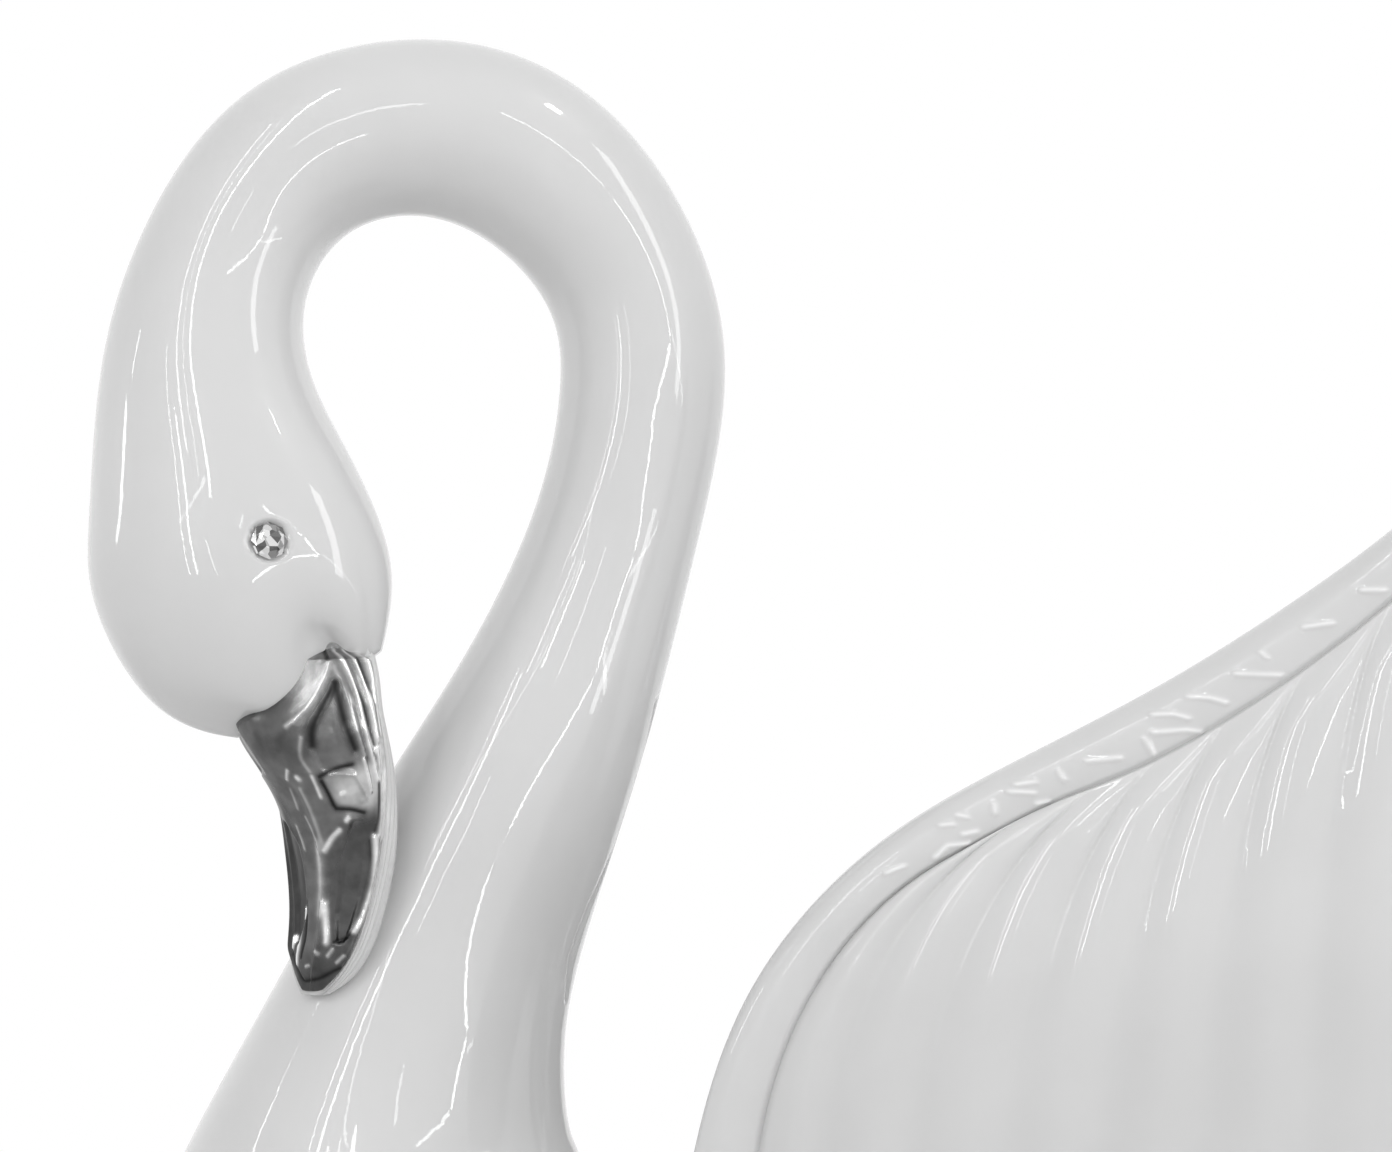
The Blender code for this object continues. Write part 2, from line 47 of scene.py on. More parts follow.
# The part's own stations: back point (x, z), belly point (x, z), width over height, offset to the left.
STATIONS = [
    ((121.0, 76.0), (119.5, 72.5), 2.6, 0.0),
    ((112.0, 71.0), (108.0, 60.0), 2.0, 0.0),
    ((92.0, 64.0), (86.0, 40.0), 1.55, 0.0),
    ((68.0, 63.0), (61.0, 18.0), 1.15, 0.0),
    ((42.0, 65.0), (36.0, 3.0), 1.0, 0.0),
    ((14.0, 68.0), (10.0, -5.0), 0.96, 0.0),
    ((-14.0, 69.0), (-17.0, -6.0), 0.95, 0.0),
    ((-34.0, 70.0), (-48.0, -5.0), 0.93, 0.0),
    ((-44.0, 72.0), (-82.0, 3.0), 0.90, 0.0),
    ((-49.5, 74.5), (-107.0, 24.0), 0.86, 0.0),
    ((-52.5, 77.0), (-115.5, 47.0), 0.84, 0.0),
    ((-53.7, 80.4), (-107.9, 70.8), 0.87, 0.0),
    ((-54.9, 84.3), (-99.2, 88.1), 0.92, 0.0),
    ((-55.0, 96.4), (-89.5, 105.7), 0.96, 0.0),
    ((-50.9, 112.5), (-79.3, 124.7), 0.98, 0.4),
    ((-44.7, 132.2), (-68.3, 142.2), 1.0, 1.0),
    ((-39.1, 154.6), (-59.4, 161.1), 1.0, -1.4),
    ((-35.1, 175.5), (-56.1, 176.5), 1.0, -2.0),
    ((-37.6, 193.6), (-57.3, 186.7), 1.0, -1.5),
    ((-48.9, 211.4), (-63.6, 194.5), 1.0, 0.2),
    ((-69.2, 221.0), (-72.7, 198.6), 1.0, 2.5),
    ((-94.5, 214.8), (-82.3, 196.4), 1.0, 5.5),
    ((-109.0, 194.5), (-87.5, 187.9), 0.99, 8.8),
    ((-113.4, 176.2), (-86.5, 177.5), 0.92, 12.0),
    ((-114.2, 160.4), (-81.4, 167.1), 0.84, 14.5),
    ((-113.3, 148.7), (-76.9, 156.1), 0.79, 15.8),
    ((-106.1, 137.0), (-76.5, 148.1), 0.76, 16.6),
    ((-95.6, 133.4), (-77.5, 142.8), 0.74, 17.2),
]
LAST_STATION = len(STATIONS) - 1
HEAD_FIRST_STATION = 23
TWIST_FIRST_STATION = 20
# Rings of the body: first station, station after the last, and count.
BODY_RINGS = ((0, 12, 60), (12, 16, 120), (16, 22, 70), (22, 27, 180))
BODY_SIDES = 200
BODY_END_DEPTH = 1.2
BODY_END_STEPS = 5
# Share of a quarter turn that a rounded end covers.
END_ROUNDING = 0.97

HEAD_TWIST = 30.0
CREASE_ANGLE = 87.0
CREASE_SPREAD = 19.0
CREASE_DEPTH = 1.9
CHEEK_ANGLE = 132.0
CHEEK_SPREAD = 26.0
CHEEK_SWELL = 0.8
FOREHEAD_DROP = 1.6
FOREHEAD_ANGLE = CREASE_ANGLE / 2
FOREHEAD_SPREAD = CREASE_ANGLE / 4
APEX_RISE = 3.6
APEX_SPREAD = CREASE_ANGLE / 5

# Fine groove at the back of the neck, through (station, angle from the back) points.
NECK_SEAM = ((15.2, 7.0), (14.95, 0.0), (14.65, 0.0), (14.35, 0.0), (14.15, 7.0), (13.9, 14.0),
             (13.5, 18.0), (13.2, 11.0))
NECK_SEAM_DEPTH = 0.35
NECK_SEAM_HALF_WIDTH = 0.5

EYE_STATION = 24.79
EYE_ANGLE = 78.5
STONE_DIAMETER = 4.7
STONE_SINK = 0.35
STONE_SIDES = 8
# Cut of a stone from its back over the girdle to the table: share of the radius, height and
# turn in sides.
STONE_CUT = ((0.70, -0.60, 0), (1.0, -0.15, 0), (1.0, 0.05, 0), (0.80, 0.55, 0.5), (0.52, 1.0, 0))
SOCKET_ROOM = 0.45
SOCKET_DEPTH = 0.7
# Steps to a neighbouring point, from which a surface gets its direction.
NEXT_STATION = 0.05
NEXT_ANGLE = 2
NEXT_SHARE = 0.02

# The part's own bill stations: height, x of the left contour, offset to the left, half width,
# crown height, keel depth, roll towards the swan's left, and how far round the cover reaches.
BILL_STATIONS = [
    (147.0, -93.0, 17.0, 7.4, 6.0, 5.4, 50.0, 97.0),
    (140.7, -93.4, 17.2, 8.8, 7.2, 6.0, 50.0, 100.0),
    (135.8, -95.5, 17.2, 10.2, 8.8, 6.6, 52.0, 100.0),
    (131.3, -95.0, 17.1, 10.2, 9.5, 6.8, 53.0, 96.0),
    (124.9, -91.0, 16.6, 8.5, 7.2, 6.2, 54.0, 88.0),
    (117.6, -89.2, 15.8, 7.9, 4.4, 5.2, 54.0, 74.0),
    (110.2, -88.7, 15.3, 6.8, 3.5, 4.4, 55.0, 65.0),
    (105.3, -89.0, 15.0, 6.0, 3.1, 3.5, 56.0, 59.0),
    (102.0, -88.4, 14.8, 4.3, 2.4, 2.6, 57.0, 54.0),
    (100.1, -87.6, 14.7, 2.4, 1.1, 1.3, 57.0, 50.0),
]
BILL_RINGS = 290
BILL_ARC_STEPS = 200
COVER_UNDER_STEPS = 16
COVER_THICKNESS = 0.7
TIP_SHARE = 0.6
COVER_END_DEPTH = 0.5
COVER_END_STEPS = 3
COVER_LIP = 0.5
LIP_TOP = 108.2
LIP_RUN = 7.0
NAIL_HEIGHT = 102.8
NAIL_RUN = 2.5
# Above this height the cover and the white bill sink into the head.
COVER_TOP = 141.2
COVER_TOP_RUN = 1.6
COVER_TOP_SINK = 2.0
CORE_TOP_SINK = 3.2
CORE_SIDES = 300
CORE_CLEARANCE = 0.1
CORE_END_DEPTH = 0.5
CORE_END_STEPS = 4
# Grooves of the white bill: angle past the cover's rim and depth.
CORE_GROOVES = ((5.0, 0.35), (13.0, 0.22), (24.0, 0.30))
CORE_GROOVE_SPREAD = 2.2
# Chased relief of the cover. Shares run from 0 on the ridge to 1 at the rim, and a panel's
# edges are (height, share) points from its foot to its top.
PANEL_DEPTH = 0.55
PANEL_SLOPE = 0.11
PANEL_END = 0.9
RELIEF_RUN = 3.5
UPPER_PANEL = (((127.0, 0.30), (131.0, 0.27), (139.2, 0.53)), ((127.0, 0.70), (139.2, 0.60)))
LOWER_PANEL = (((105.8, 0.44), (110.0, 0.29), (118.5, 0.32), (122.0, 0.52)),
               ((105.8, 0.72), (114.0, 0.80), (122.0, 0.76)))
COVER_BEAD = 0.45
COVER_BEAD_SHARE = 0.90
COVER_BEAD_SPREAD = 0.05
RIDGE_SHARE = 0.07
RIDGE_SPREAD = 0.07
RIDGE_TOP = 128.0
RIDGE_HEIGHT = 0.4

# Fine chasing of the cover, as lines of (height, share) points with half their width. Polished
# lines stand up, satin ones a little, and the patina stays in the sunk ones.
POLISHED_LINES = (
    (((142.6, 0.60), (136.1, 0.76), (129.9, 0.83), (126.5, 0.87)), 0.30),
    (((142.6, 0.73), (136.1, 0.855), (131.2, 0.895)), 0.22),
    (((142.6, 0.87), (136.2, 0.95), (131.2, 0.97), (125.3, 0.97), (119.4, 0.95)), 0.44),
    (((128.9, 0.75), (125.0, 0.79)), 0.20),
    (((127.6, 0.03), (126.5, -0.04)), 0.20),
    (((126.7, 0.09), (126.5, 0.10)), 0.32),
    (((126.8, 0.24), (124.3, 0.24)), 0.24),
    (((121.7, 0.49), (121.4, 0.46)), 0.30),
    (((120.2, 0.36), (119.1, 0.23), (117.7, 0.12)), 0.32),
    (((111.1, 0.10), (108.6, 0.17), (106.3, 0.26)), 0.42),
    (((119.4, 0.84), (116.4, 0.91), (113.5, 0.94), (109.8, 0.91), (107.7, 0.80)), 0.34),
    (((110.5, -0.41), (106.3, -0.46), (103.6, -0.60)), 0.26),
    (((107.0, -0.70), (105.7, -0.72)), 0.24),
    (((124.9, 0.50), (124.6, 0.46)), 0.25),
)
SATIN_LINES = (
    (((141.0, 0.51), (137.5, 0.42), (134.9, 0.33), (133.0, 0.20)), 0.34),
    (((140.4, 0.54), (135.7, 0.68), (129.3, 0.77)), 0.34),
    (((131.5, 0.29), (128.9, 0.22), (127.4, 0.24)), 0.26),
    (((125.3, -0.07), (122.9, -0.11)), 0.20),
    (((125.3, 0.07), (121.9, 0.08), (118.6, 0.10)), 0.26),
    (((121.9, -0.04), (117.7, 0.05)), 0.20),
    (((120.8, -0.25), (117.9, -0.22)), 0.20),
    (((118.6, 0.06), (116.9, 0.03), (113.0, 0.02), (109.9, 0.03)), 0.62),
    (((126.9, 0.63), (127.0, 0.45), (125.4, 0.38), (124.3, 0.48)), 0.30),
    (((126.9, 0.63), (124.0, 0.73), (123.6, 0.66)), 0.30),
    (((105.2, 0.05), (104.9, 0.12)), 0.26),
    (((105.4, 0.44), (104.6, 0.38)), 0.26),
    (((103.3, -0.22), (103.4, -0.12)), 0.22),
    (((103.8, 0.70), (104.6, 0.80)), 0.22),
)
SUNK_LINES = (
    (((138.2, 0.54), (135.2, 0.46), (132.7, 0.39), (130.6, 0.35)), 0.80),
    (((138.2, 0.56), (134.0, 0.63), (130.2, 0.69)), 0.62),
    (((126.8, 0.31), (127.7, 0.47), (128.3, 0.64)), 0.42),
    (((126.2, 0.31), (122.9, 0.37), (122.8, 0.52), (122.4, 0.69)), 0.46),
    (((142.6, 0.47), (141.6, 0.49)), 0.42),
    (((141.6, 0.665), (138.5, 0.735), (135.7, 0.81), (130.6, 0.865)), 0.17),
    (((141.6, 0.80), (138.5, 0.85), (135.7, 0.905), (132.0, 0.93)), 0.17),
    (((129.4, 0.86), (126.0, 0.88), (122.0, 0.88), (119.6, 0.84)), 0.20),
    (((119.0, 0.78), (113.5, 0.88), (109.0, 0.84), (106.9, 0.70)), 0.18),
    (((106.3, 0.43), (106.6, 0.58), (107.1, 0.72)), 0.20),
    (((111.4, -0.30), (107.2, -0.30), (104.4, -0.42)), 0.24),
    (((104.8, -0.78), (102.6, -0.60), (101.5, -0.34), (101.8, 0.30), (103.1, 0.90)), 0.34),
)
# Points between two given ones of a chased line.
LINE_STEPS = 4
POLISHED_RISE, POLISHED_TONE = 0.16, 0.92
SATIN_RISE, SATIN_TONE = 0.07, 0.46
SUNK_DEPTH, SUNK_TONE = 0.14, 0.028

# How dark the silver's colour lies, partly patina and partly painted reflections of dark and bright
# surroundings: height, share, reach up, reach across and tone of each zone.
PATINA_AND_REFLECTION_ZONES = (
    (133.0, -0.20, 2.6, 0.45, 0.12), (118.0, -0.62, 9.0, 0.22, 0.065), (123.0, 0.06, 4.5, 0.26, 0.20),
    (112.5, -0.12, 5.0, 0.18, 0.15), (113.0, 0.55, 6.0, 0.26, 0.10), (131.5, 0.49, 3.2, 0.14, 0.20),
    (103.0, 0.20, 1.8, 0.80, 0.10), (137.8, 0.38, 2.4, 0.10, 0.34), (125.2, 0.54, 1.9, 0.16, 0.66),
    (128.0, 1.02, 14.0, 0.07, 0.85), (141.5, 0.55, 1.6, 0.60, 0.24),
)
LEAST_WEIGHT = 1e-6
LEAST_LENGTH = 1e-9

# The part's own wing curves: control points (x, z, distance from the middle) of each feather.
FEATHER_CURVES = {
    0: ((-22.0, 38.0, 26.0), (-39.1, 74.9, 44.0), (-26.0, 107.7, 47.5), (-3.4, 117.5, 49.0)),
    1: ((-17.0, 38.0, 27.0), (-28.0, 78.2, 48.0), (-18.9, 110.4, 49.5), (5.0, 122.1, 49.8)),
    3: ((-2.0, 38.0, 28.0), (-1.5, 78.4, 54.0), (3.0, 111.0, 52.5), (18.8, 128.0, 51.0)),
    6: ((36.0, 39.0, 27.0), (37.6, 87.8, 57.0), (37.0, 127.3, 55.5), (46.6, 146.5, 54.0)),
    9: ((70.0, 42.0, 20.0), (74.5, 84.2, 48.0), (73.0, 141.7, 58.0), (80.1, 187.7, 57.0)),
    10: ((77.0, 45.0, 18.0), (82.1, 80.1, 42.0), (83.5, 127.3, 55.0), (89.6, 170.2, 53.0)),
    12: ((87.9, 50.0, 14.0), (92.2, 72.2, 30.0), (95.0, 95.0, 40.0), (101.4, 125.7, 38.0)),
    14: ((97.4, 57.1, 10.0), (100.9, 65.5, 16.0), (103.6, 74.5, 20.0), (107.7, 85.0, 21.0)),
}
LEADING_EDGE = [
    (-29.0, 38.0, 24.0), (-38.5, 56.9, 36.0), (-37.0, 80.9, 42.0), (-30.7, 99.2, 45.0),
    (-14.1, 118.4, 47.0), (2.3, 128.1, 48.0), (20.4, 137.6, 49.5), (35.7, 147.2, 51.0),
    (47.2, 155.6, 52.5), (60.1, 167.6, 54.0), (70.6, 178.6, 56.0), (80.1, 187.9, 57.0),
]
TIP_FEATHER = 9
LAST_FEATHER = max(FEATHER_CURVES)
WING_THICKNESS = 3.6
BAND_SWELL = 1.3
BAND_INNER_SWELL = 0.5
BAND_SWELL_POWER = 0.8
BAND_EDGE_SHARE = 0.4
# The flutes sharpen towards the band: shares of a feather's length and powers of the wave.
FLUTE_DEPTH = 1.1
FLUTE_START_RUN = 0.3
FLUTE_END_RUN = 0.15
FLUTE_SOFT_FROM = 0.92
FLUTE_SOFT_RUN = 0.40
FLUTE_SHARP_POWER = 0.55
FLUTE_SOFT_POWER = 1.1
# Lobes of the rear edge.
LOBE_LENGTH = 3.2
LOBE_SHARE = 0.2
LOBE_START_RUN = 0.3
LOBE_POWER = 0.7
# Runs over which the wing thins out, in shares of a feather's length or in feathers.
TRAILING_RUN = 0.1
ROOT_RUN = 0.06
TIP_RUN = 0.6
REAR_RUN = 0.5
LEAST_BAND_WIDTH = 0.9
# Groove where the fluted field meets the band. The three lengths turn shares of the field, of the
# feathers and of the band into rough distances from it.
SEAM_DEPTH = 0.55
SEAM_HALF_WIDTH = 0.6
FIELD_LENGTH = 95.0
FEATHER_PITCH = 12.0
BAND_WIDTH = 12.0
# Grids of the wing. Rows along a feather have a first share, a last share and a count, and the
# inner skins take every second or third point.
FIELD_STEPS_PER_FEATHER = 16
FIELD_ROWS = ((0.0, 0.93, 124), (0.93, 1.0, 36))
FIELD_INNER_EVERY = 2
BAND_LENGTH_STEPS = 901
BAND_WIDTH_STEPS = 45
BAND_INNER_EVERY = 3
FRONT_SAMPLES = 400
CHAIN_SAMPLES = 500

# Small strokes tooled into the leading band, as two (distance along the band, share of the way
# in) points each. Beyond the photo's edge the same strokes come again.
BAND_STROKES = (
    ((86.7, 0.56), (88.3, 0.66)), ((90.8, 0.87), (93.4, 0.78)), ((93.4, 0.78), (94.7, 0.92)),
    ((95.9, 0.74), (97.0, 0.81)), ((96.3, 0.37), (97.0, 0.47)), ((98.6, 0.37), (98.8, 0.49)),
    ((102.1, 0.52), (100.7, 0.69)), ((106.3, 0.39), (107.8, 0.50)), ((104.8, 0.45), (106.0, 0.67)),
    ((104.5, 0.89), (105.5, 0.94)), ((110.8, 0.51), (109.9, 0.68)), ((114.1, 0.54), (116.8, 0.73)),
    ((120.9, 0.64), (119.5, 0.92)), ((122.3, 0.61), (124.8, 0.83)), ((124.8, 0.83), (125.5, 0.96)),
    ((124.6, 0.36), (126.0, 0.52)), ((126.0, 0.52), (126.4, 0.68)), ((129.1, 0.39), (130.3, 0.57)),
    ((130.3, 0.57), (130.8, 0.77)), ((134.9, 0.47), (137.5, 0.87)), ((139.1, 0.40), (138.8, 0.52)),
    ((144.7, 0.46), (146.9, 0.68)), ((152.5, 0.54), (153.8, 0.79)),
)
BAND_REPEAT = 66.0
BAND_REPEATED_FROM = 94.0
BAND_STROKES_END = 190.0
STROKE_HALF_WIDTH = 0.32
STROKE_HEIGHT = 0.36

# Camera: it looks along +Y at the middle plane, slightly from behind the swan and from below.
CAMERA_AIM = (-38.6, 0.0, 152.9)
CAMERA_DISTANCE = 1000.0
CAMERA_AZIMUTH = 2.5
CAMERA_ELEVATION = -3.0
SENSOR_WIDTH = 36.0
FRAME_WIDTH = 176.8

# Studio: a floor that fades into white, a soft world, and narrow windows round the swan. Each
# window runs between two directions (azimuth 0 behind the camera and positive to its right,
# elevation) and has a width and a brightness.
FLOOR_SIZE = 8.0
FLOOR_GAP = 0.5
FLOOR_TONE = 0.88
FLOOR_GRAIN = 0.03
FLOOR_ROUGHNESS = 0.6
FLOOR_NOISE = (12.0, 2.0)
FLOOR_FADE_START = 260.0
FLOOR_FADE_END = 700.0
WORLD_FRONT = 0.73
WORLD_BACK = 0.38
LAMP_TARGET = (-50.0, 0.0, 140.0)
LAMP_DISTANCE = 1500.0
WINDOWS = (
    ((-15, 30), (-17, 62), 40.0, 11.0), ((-30, 33), (-34, 52), 32.0, 8.0),
    ((-23, 32), (-25, 50), 14.0, 7.0), ((-91, 9), (-86, 21), 70.0, 9.0),
    ((-82, 24), (-80, 30), 30.0, 8.0), ((15, -3), (43, 8), 34.0, 11.0),
    ((44, 9), (41, 18), 34.0, 11.0), ((40, 19), (22, 31), 34.0, 8.0),
    ((46, 10), (66, -3), 24.0, 5.0), ((64, 52), (73, 54), 110.0, 26.0),
    ((6, 22), (8, 27), 40.0, 5.0), ((-18, 33), (-38, 19), 22.0, 5.0),
    ((52, 0), (70, 40), 140.0, 4.5), ((-25, -2), (-36, 34), 30.0, 11.0),
    ((-30, -2), (-43, 36), 14.0, 10.0), ((-12, -1), (-19, 15), 16.0, 8.0),
)

# Materials. A noise has a scale and a detail, and a bump has a distance in metres and a strength.
RAMP_STOPS = (0.35, 0.65)
GLAZE_TONES = (0.68, 0.71)
GLAZE_TONE_NOISE = (38.0, 3.0)
# Colour of the tooled strokes: partly glaze that runs thinner, partly a painted highlight.
THIN_GLAZE_AND_HIGHLIGHT_TONE = 0.90
GLAZE_BODY_ROUGHNESS = 0.32
GLAZE_BODY_SPECULAR = 0.25
GLAZE_IOR = 1.5
SUBSURFACE_WEIGHT = 0.12
SUBSURFACE_RADIUS = 0.004
SUBSURFACE_SCALE = 0.5
SWELL_NOISE, SWELL_BUMP = (55.0, 1.0), (0.0010, 0.16)
FINE_NOISE, FINE_BUMP = (420.0, 2.0), (0.00006, 0.2)
COAT_ROUGHNESS = 0.02
STAIN_NOISE, STAIN_TONES = (420.0, 5.0), (0.78, 1.12)
DULL_ROUGHNESS, POLISHED_ROUGHNESS = 0.30, 0.09
RIPPLE_NOISE, RIPPLE_BUMP = (330.0, 2.0), (0.0004, 0.4)
FACET_SCALE = 900.0
FACET_TONES = (0.10, 0.80)
FACET_METALLIC = 0.85
FACET_ROUGHNESS = 0.06


def cubic_spline(knots, values, at):
    """Natural cubic spline through rows of values."""
    x = np.asarray(knots, float)
    y = np.asarray(values, float)
    step = np.diff(x)[:, None]
    slope = np.diff(y, axis=0) / step
    system = np.eye(len(x))
    bend = np.zeros_like(y)
    for i in range(1, len(x) - 1):
        system[i, i - 1:i + 2] = (step[i - 1, 0], 2 * (step[i - 1, 0] + step[i, 0]), step[i, 0])
        bend[i] = 6 * (slope[i] - slope[i - 1])
    bend = np.linalg.solve(system, bend)
    at = np.clip(np.asarray(at, float), x[0], x[-1])
    i = np.clip(np.searchsorted(x, at, side="right") - 1, 0, len(x) - 2)
    left = (at - x[i])[:, None]
    right = (x[i + 1] - at)[:, None]
    h = step[i]
    return ((bend[i] * right ** 3 + bend[i + 1] * left ** 3) / (6 * h)
            + (y[i] / h - bend[i] * h / 6) * right
            + (y[i + 1] / h - bend[i + 1] * h / 6) * left)


def calm_curve(knots, values, at):
    """Cubic curve through rows of values that never swings past them."""
    x = np.asarray(knots, float)
    y = np.asarray(values, float)
    step = np.diff(x)[:, None]
    slope = np.diff(y, axis=0) / step
    tangent = np.zeros_like(y)
    tangent[0] = slope[0]
    tangent[-1] = slope[-1]
    before, after = slope[:-1], slope[1:]
    same = before * after > 0
    mean = np.where(same, before + after, 1.0)
    tangent[1:-1] = np.where(same, 2 * before * after / mean, 0.0)
    at = np.clip(np.asarray(at, float), x[0], x[-1])
    i = np.clip(np.searchsorted(x, at, side="right") - 1, 0, len(x) - 2)
    h = step[i]
    s = ((at - x[i])[:, None]) / h
    return ((1 + 2 * s) * (1 - s) ** 2 * y[i] + s * (1 - s) ** 2 * h * tangent[i]
            + s * s * (3 - 2 * s) * y[i + 1] + s * s * (s - 1) * h * tangent[i + 1])


def smooth(value):
    value = np.clip(value, 0.0, 1.0)
    return value * value * (3 - 2 * value)


def bump(value, middle, spread):
    return np.exp(-((value - middle) / spread) ** 2)


def rounded(value):
    """Quarter-circle rise from 0 at an edge to 1 inside it."""
    return np.sqrt(1 - (1 - np.clip(value, 0.0, 1.0)) ** 2)


def swan_rings(at, angle):
    """Points of the body, neck and head at station numbers and angles from the back."""
    rows = [(*back, *belly, ratio, left) for back, belly, ratio, left in STATIONS]
    row = cubic_spline(np.arange(len(rows)), rows, at)[:, None, :]
    angle = np.asarray(angle, float)[None, :]
    at = np.asarray(at, float)[:, None]
    across_x = (row[..., 0] - row[..., 2]) / 2
    across_z = (row[..., 1] - row[..., 3]) / 2
    half = np.hypot(across_x, across_z)
    head = smooth((at - HEAD_FIRST_STATION) / (LAST_STATION - HEAD_FIRST_STATION))
    turn = smooth((at - TWIST_FIRST_STATION) / (HEAD_FIRST_STATION - TWIST_FIRST_STATION))
    true_angle = np.abs((angle - HEAD_TWIST * turn + 180) % 360 - 180)
    swell = (CHEEK_SWELL * head * bump(true_angle, CHEEK_ANGLE, CHEEK_SPREAD)
             - CREASE_DEPTH * head ** 2 * bump(true_angle, CREASE_ANGLE, CREASE_SPREAD))
    drop = head ** 4 * (FOREHEAD_DROP * bump(true_angle, FOREHEAD_ANGLE, FOREHEAD_SPREAD)
                        - APEX_RISE * bump(true_angle, CREASE_ANGLE, APEX_SPREAD))
    radians = np.radians(angle)
    lengthwise = (half + swell) * np.cos(radians)
    sideways = (half * row[..., 4] + swell) * np.sin(radians)
    x = (row[..., 0] + row[..., 2]) / 2 + across_x / half * lengthwise
    z = (row[..., 1] + row[..., 3]) / 2 + across_z / half * lengthwise - drop
    y = -(row[..., 5] + sideways)
    return np.stack([x, y, z], axis=-1)


def close_ends(rings, depth, steps):
    """Rounds both ends of a loft off in a few rings."""
    turns = np.linspace(0, math.pi / 2, steps + 1)[1:] * END_ROUNDING
    rings = list(rings)
    for end, neighbour in ((0, 1), (-1, -2)):
        ring = rings[end]
        middle = ring.mean(axis=0)
        out = middle - rings[neighbour].mean(axis=0)
        out = out / np.linalg.norm(out)
        caps = [middle + (ring - middle) * math.cos(t) + out * depth * math.sin(t) for t in turns]
        rings = caps[::-1] + rings if end == 0 else rings + caps
    return np.array(rings)


def add_mesh(name, grids, closed=False):
    """One smooth mesh object from grids of points; a closed grid wraps round its rows."""
    verts, faces, start = [], [], 0
    for grid in grids:
        rows, columns = grid.shape[:2]
        index = start + np.arange(rows * columns).reshape(rows, columns)
        nearby = np.roll(index, -1, axis=1) if closed else index[:, 1:]
        here = index if closed else index[:, :-1]
        quads = np.stack([here[:-1], nearby[:-1], nearby[1:], here[1:]], axis=-1).reshape(-1, 4)
        faces.extend(quads.tolist())
        if closed:
            faces.append(index[0].tolist())
            faces.append(index[-1][::-1].tolist())
        verts.append(grid.reshape(-1, 3))
        start += rows * columns
    mesh = bpy.data.meshes.new(name)
    mesh.from_pydata((np.concatenate(verts) * MM).tolist(), [], faces)
    mesh.update()
    mesh.shade_smooth()
    obj = bpy.data.objects.new(name, mesh)
    bpy.context.scene.collection.objects.link(obj)
    return obj


def add_tone(obj, name, values):
    obj.data.attributes.new(name, "FLOAT", "POINT").data.foreach_set("value", values)


def face_outward(obj):
    bpy.context.view_layer.objects.active = obj
    obj.select_set(True)
    bpy.ops.object.mode_set(mode="EDIT")
    bpy.ops.mesh.select_all(action="SELECT")
    bpy.ops.mesh.normals_make_consistent(inside=False)
    bpy.ops.object.mode_set(mode="OBJECT")
    obj.select_set(False)


def eye_frame(side):
    """Centre and outward direction of the head's surface at an eye."""
    angle = HEAD_TWIST + EYE_ANGLE * side
    here, along, around = (Vector(swan_rings([s], [a])[0, 0]) for s, a in
                           ((EYE_STATION, angle), (EYE_STATION + NEXT_STATION, angle),
                            (EYE_STATION, angle + NEXT_ANGLE)))
    normal = (along - here).cross(around - here).normalized()
    middle = Vector(swan_rings([EYE_STATION], [angle, angle + 180])[0].mean(axis=0))
    if normal.dot(here - middle) < 0:
        normal = -normal
    return here, normal


def make_body():
    """Body, neck and head as one skin, with a flat foot and dimples for the eye stones."""
    parts = [np.linspace(a, b, n, endpoint=False) for a, b, n in BODY_RINGS]
    at = np.concatenate([*parts, [LAST_STATION]])
    angle = np.arange(BODY_SIDES) * 360 / BODY_SIDES
    rings = close_ends(swan_rings(at, angle), BODY_END_DEPTH, BODY_END_STEPS)
    for side in (1, -1):
        centre, normal = (np.array(v) for v in eye_frame(side))
        away = np.linalg.norm(rings - centre, axis=-1)
        rim = STONE_DIAMETER / 2 + SOCKET_ROOM
        sink = SOCKET_DEPTH * smooth((rim - away) / SOCKET_ROOM)
        rings = rings - sink[..., None] * normal
    middle = rings.mean(axis=1, keepdims=True)
    outward = (rings - middle) / np.linalg.norm(rings - middle, axis=-1, keepdims=True)
    seam = np.array([swan_rings([s], [a])[0, 0] for s, a in NECK_SEAM])
    groove = NECK_SEAM_DEPTH * near_line(rings, seam, NECK_SEAM_HALF_WIDTH)
    rings = rings - groove[..., None] * outward
    rings[..., 2] = np.maximum(rings[..., 2], 0.0)
    return add_mesh("swan_body", [rings], closed=True)


def bill_rows(lip):
    """Smooth rows between the bill's stations, with the tip drawn back by the lip."""
    at = np.linspace(0, len(BILL_STATIONS) - 1, BILL_RINGS)
    rows = cubic_spline(np.arange(len(BILL_STATIONS)), BILL_STATIONS, at)
    near_tip = smooth((LIP_TOP - rows[:, 0]) / LIP_RUN)
    rows[:, 0] += lip * near_tip
    return rows


def bill_points(row, angle, inset=0.0):
    """Points of the bill's section, by their angles from the ridge."""
    height, left_x, left, half_width, crown, keel, roll, _ = row
    roll = math.radians(roll)
    reach = math.hypot(crown * math.cos(roll), half_width * math.sin(roll))
    radians = np.radians(angle)
    depth = np.where(np.abs(angle) <= 90, crown, keel)
    up = (depth - inset) * np.cos(radians)
    side = (half_width - inset) * np.sin(radians)
    x = left_x + reach - up * math.cos(roll) + side * math.sin(roll)
    y = -left - up * math.sin(roll) - side * math.cos(roll)
    return np.stack([x, y, np.full_like(x, height)], axis=-1)


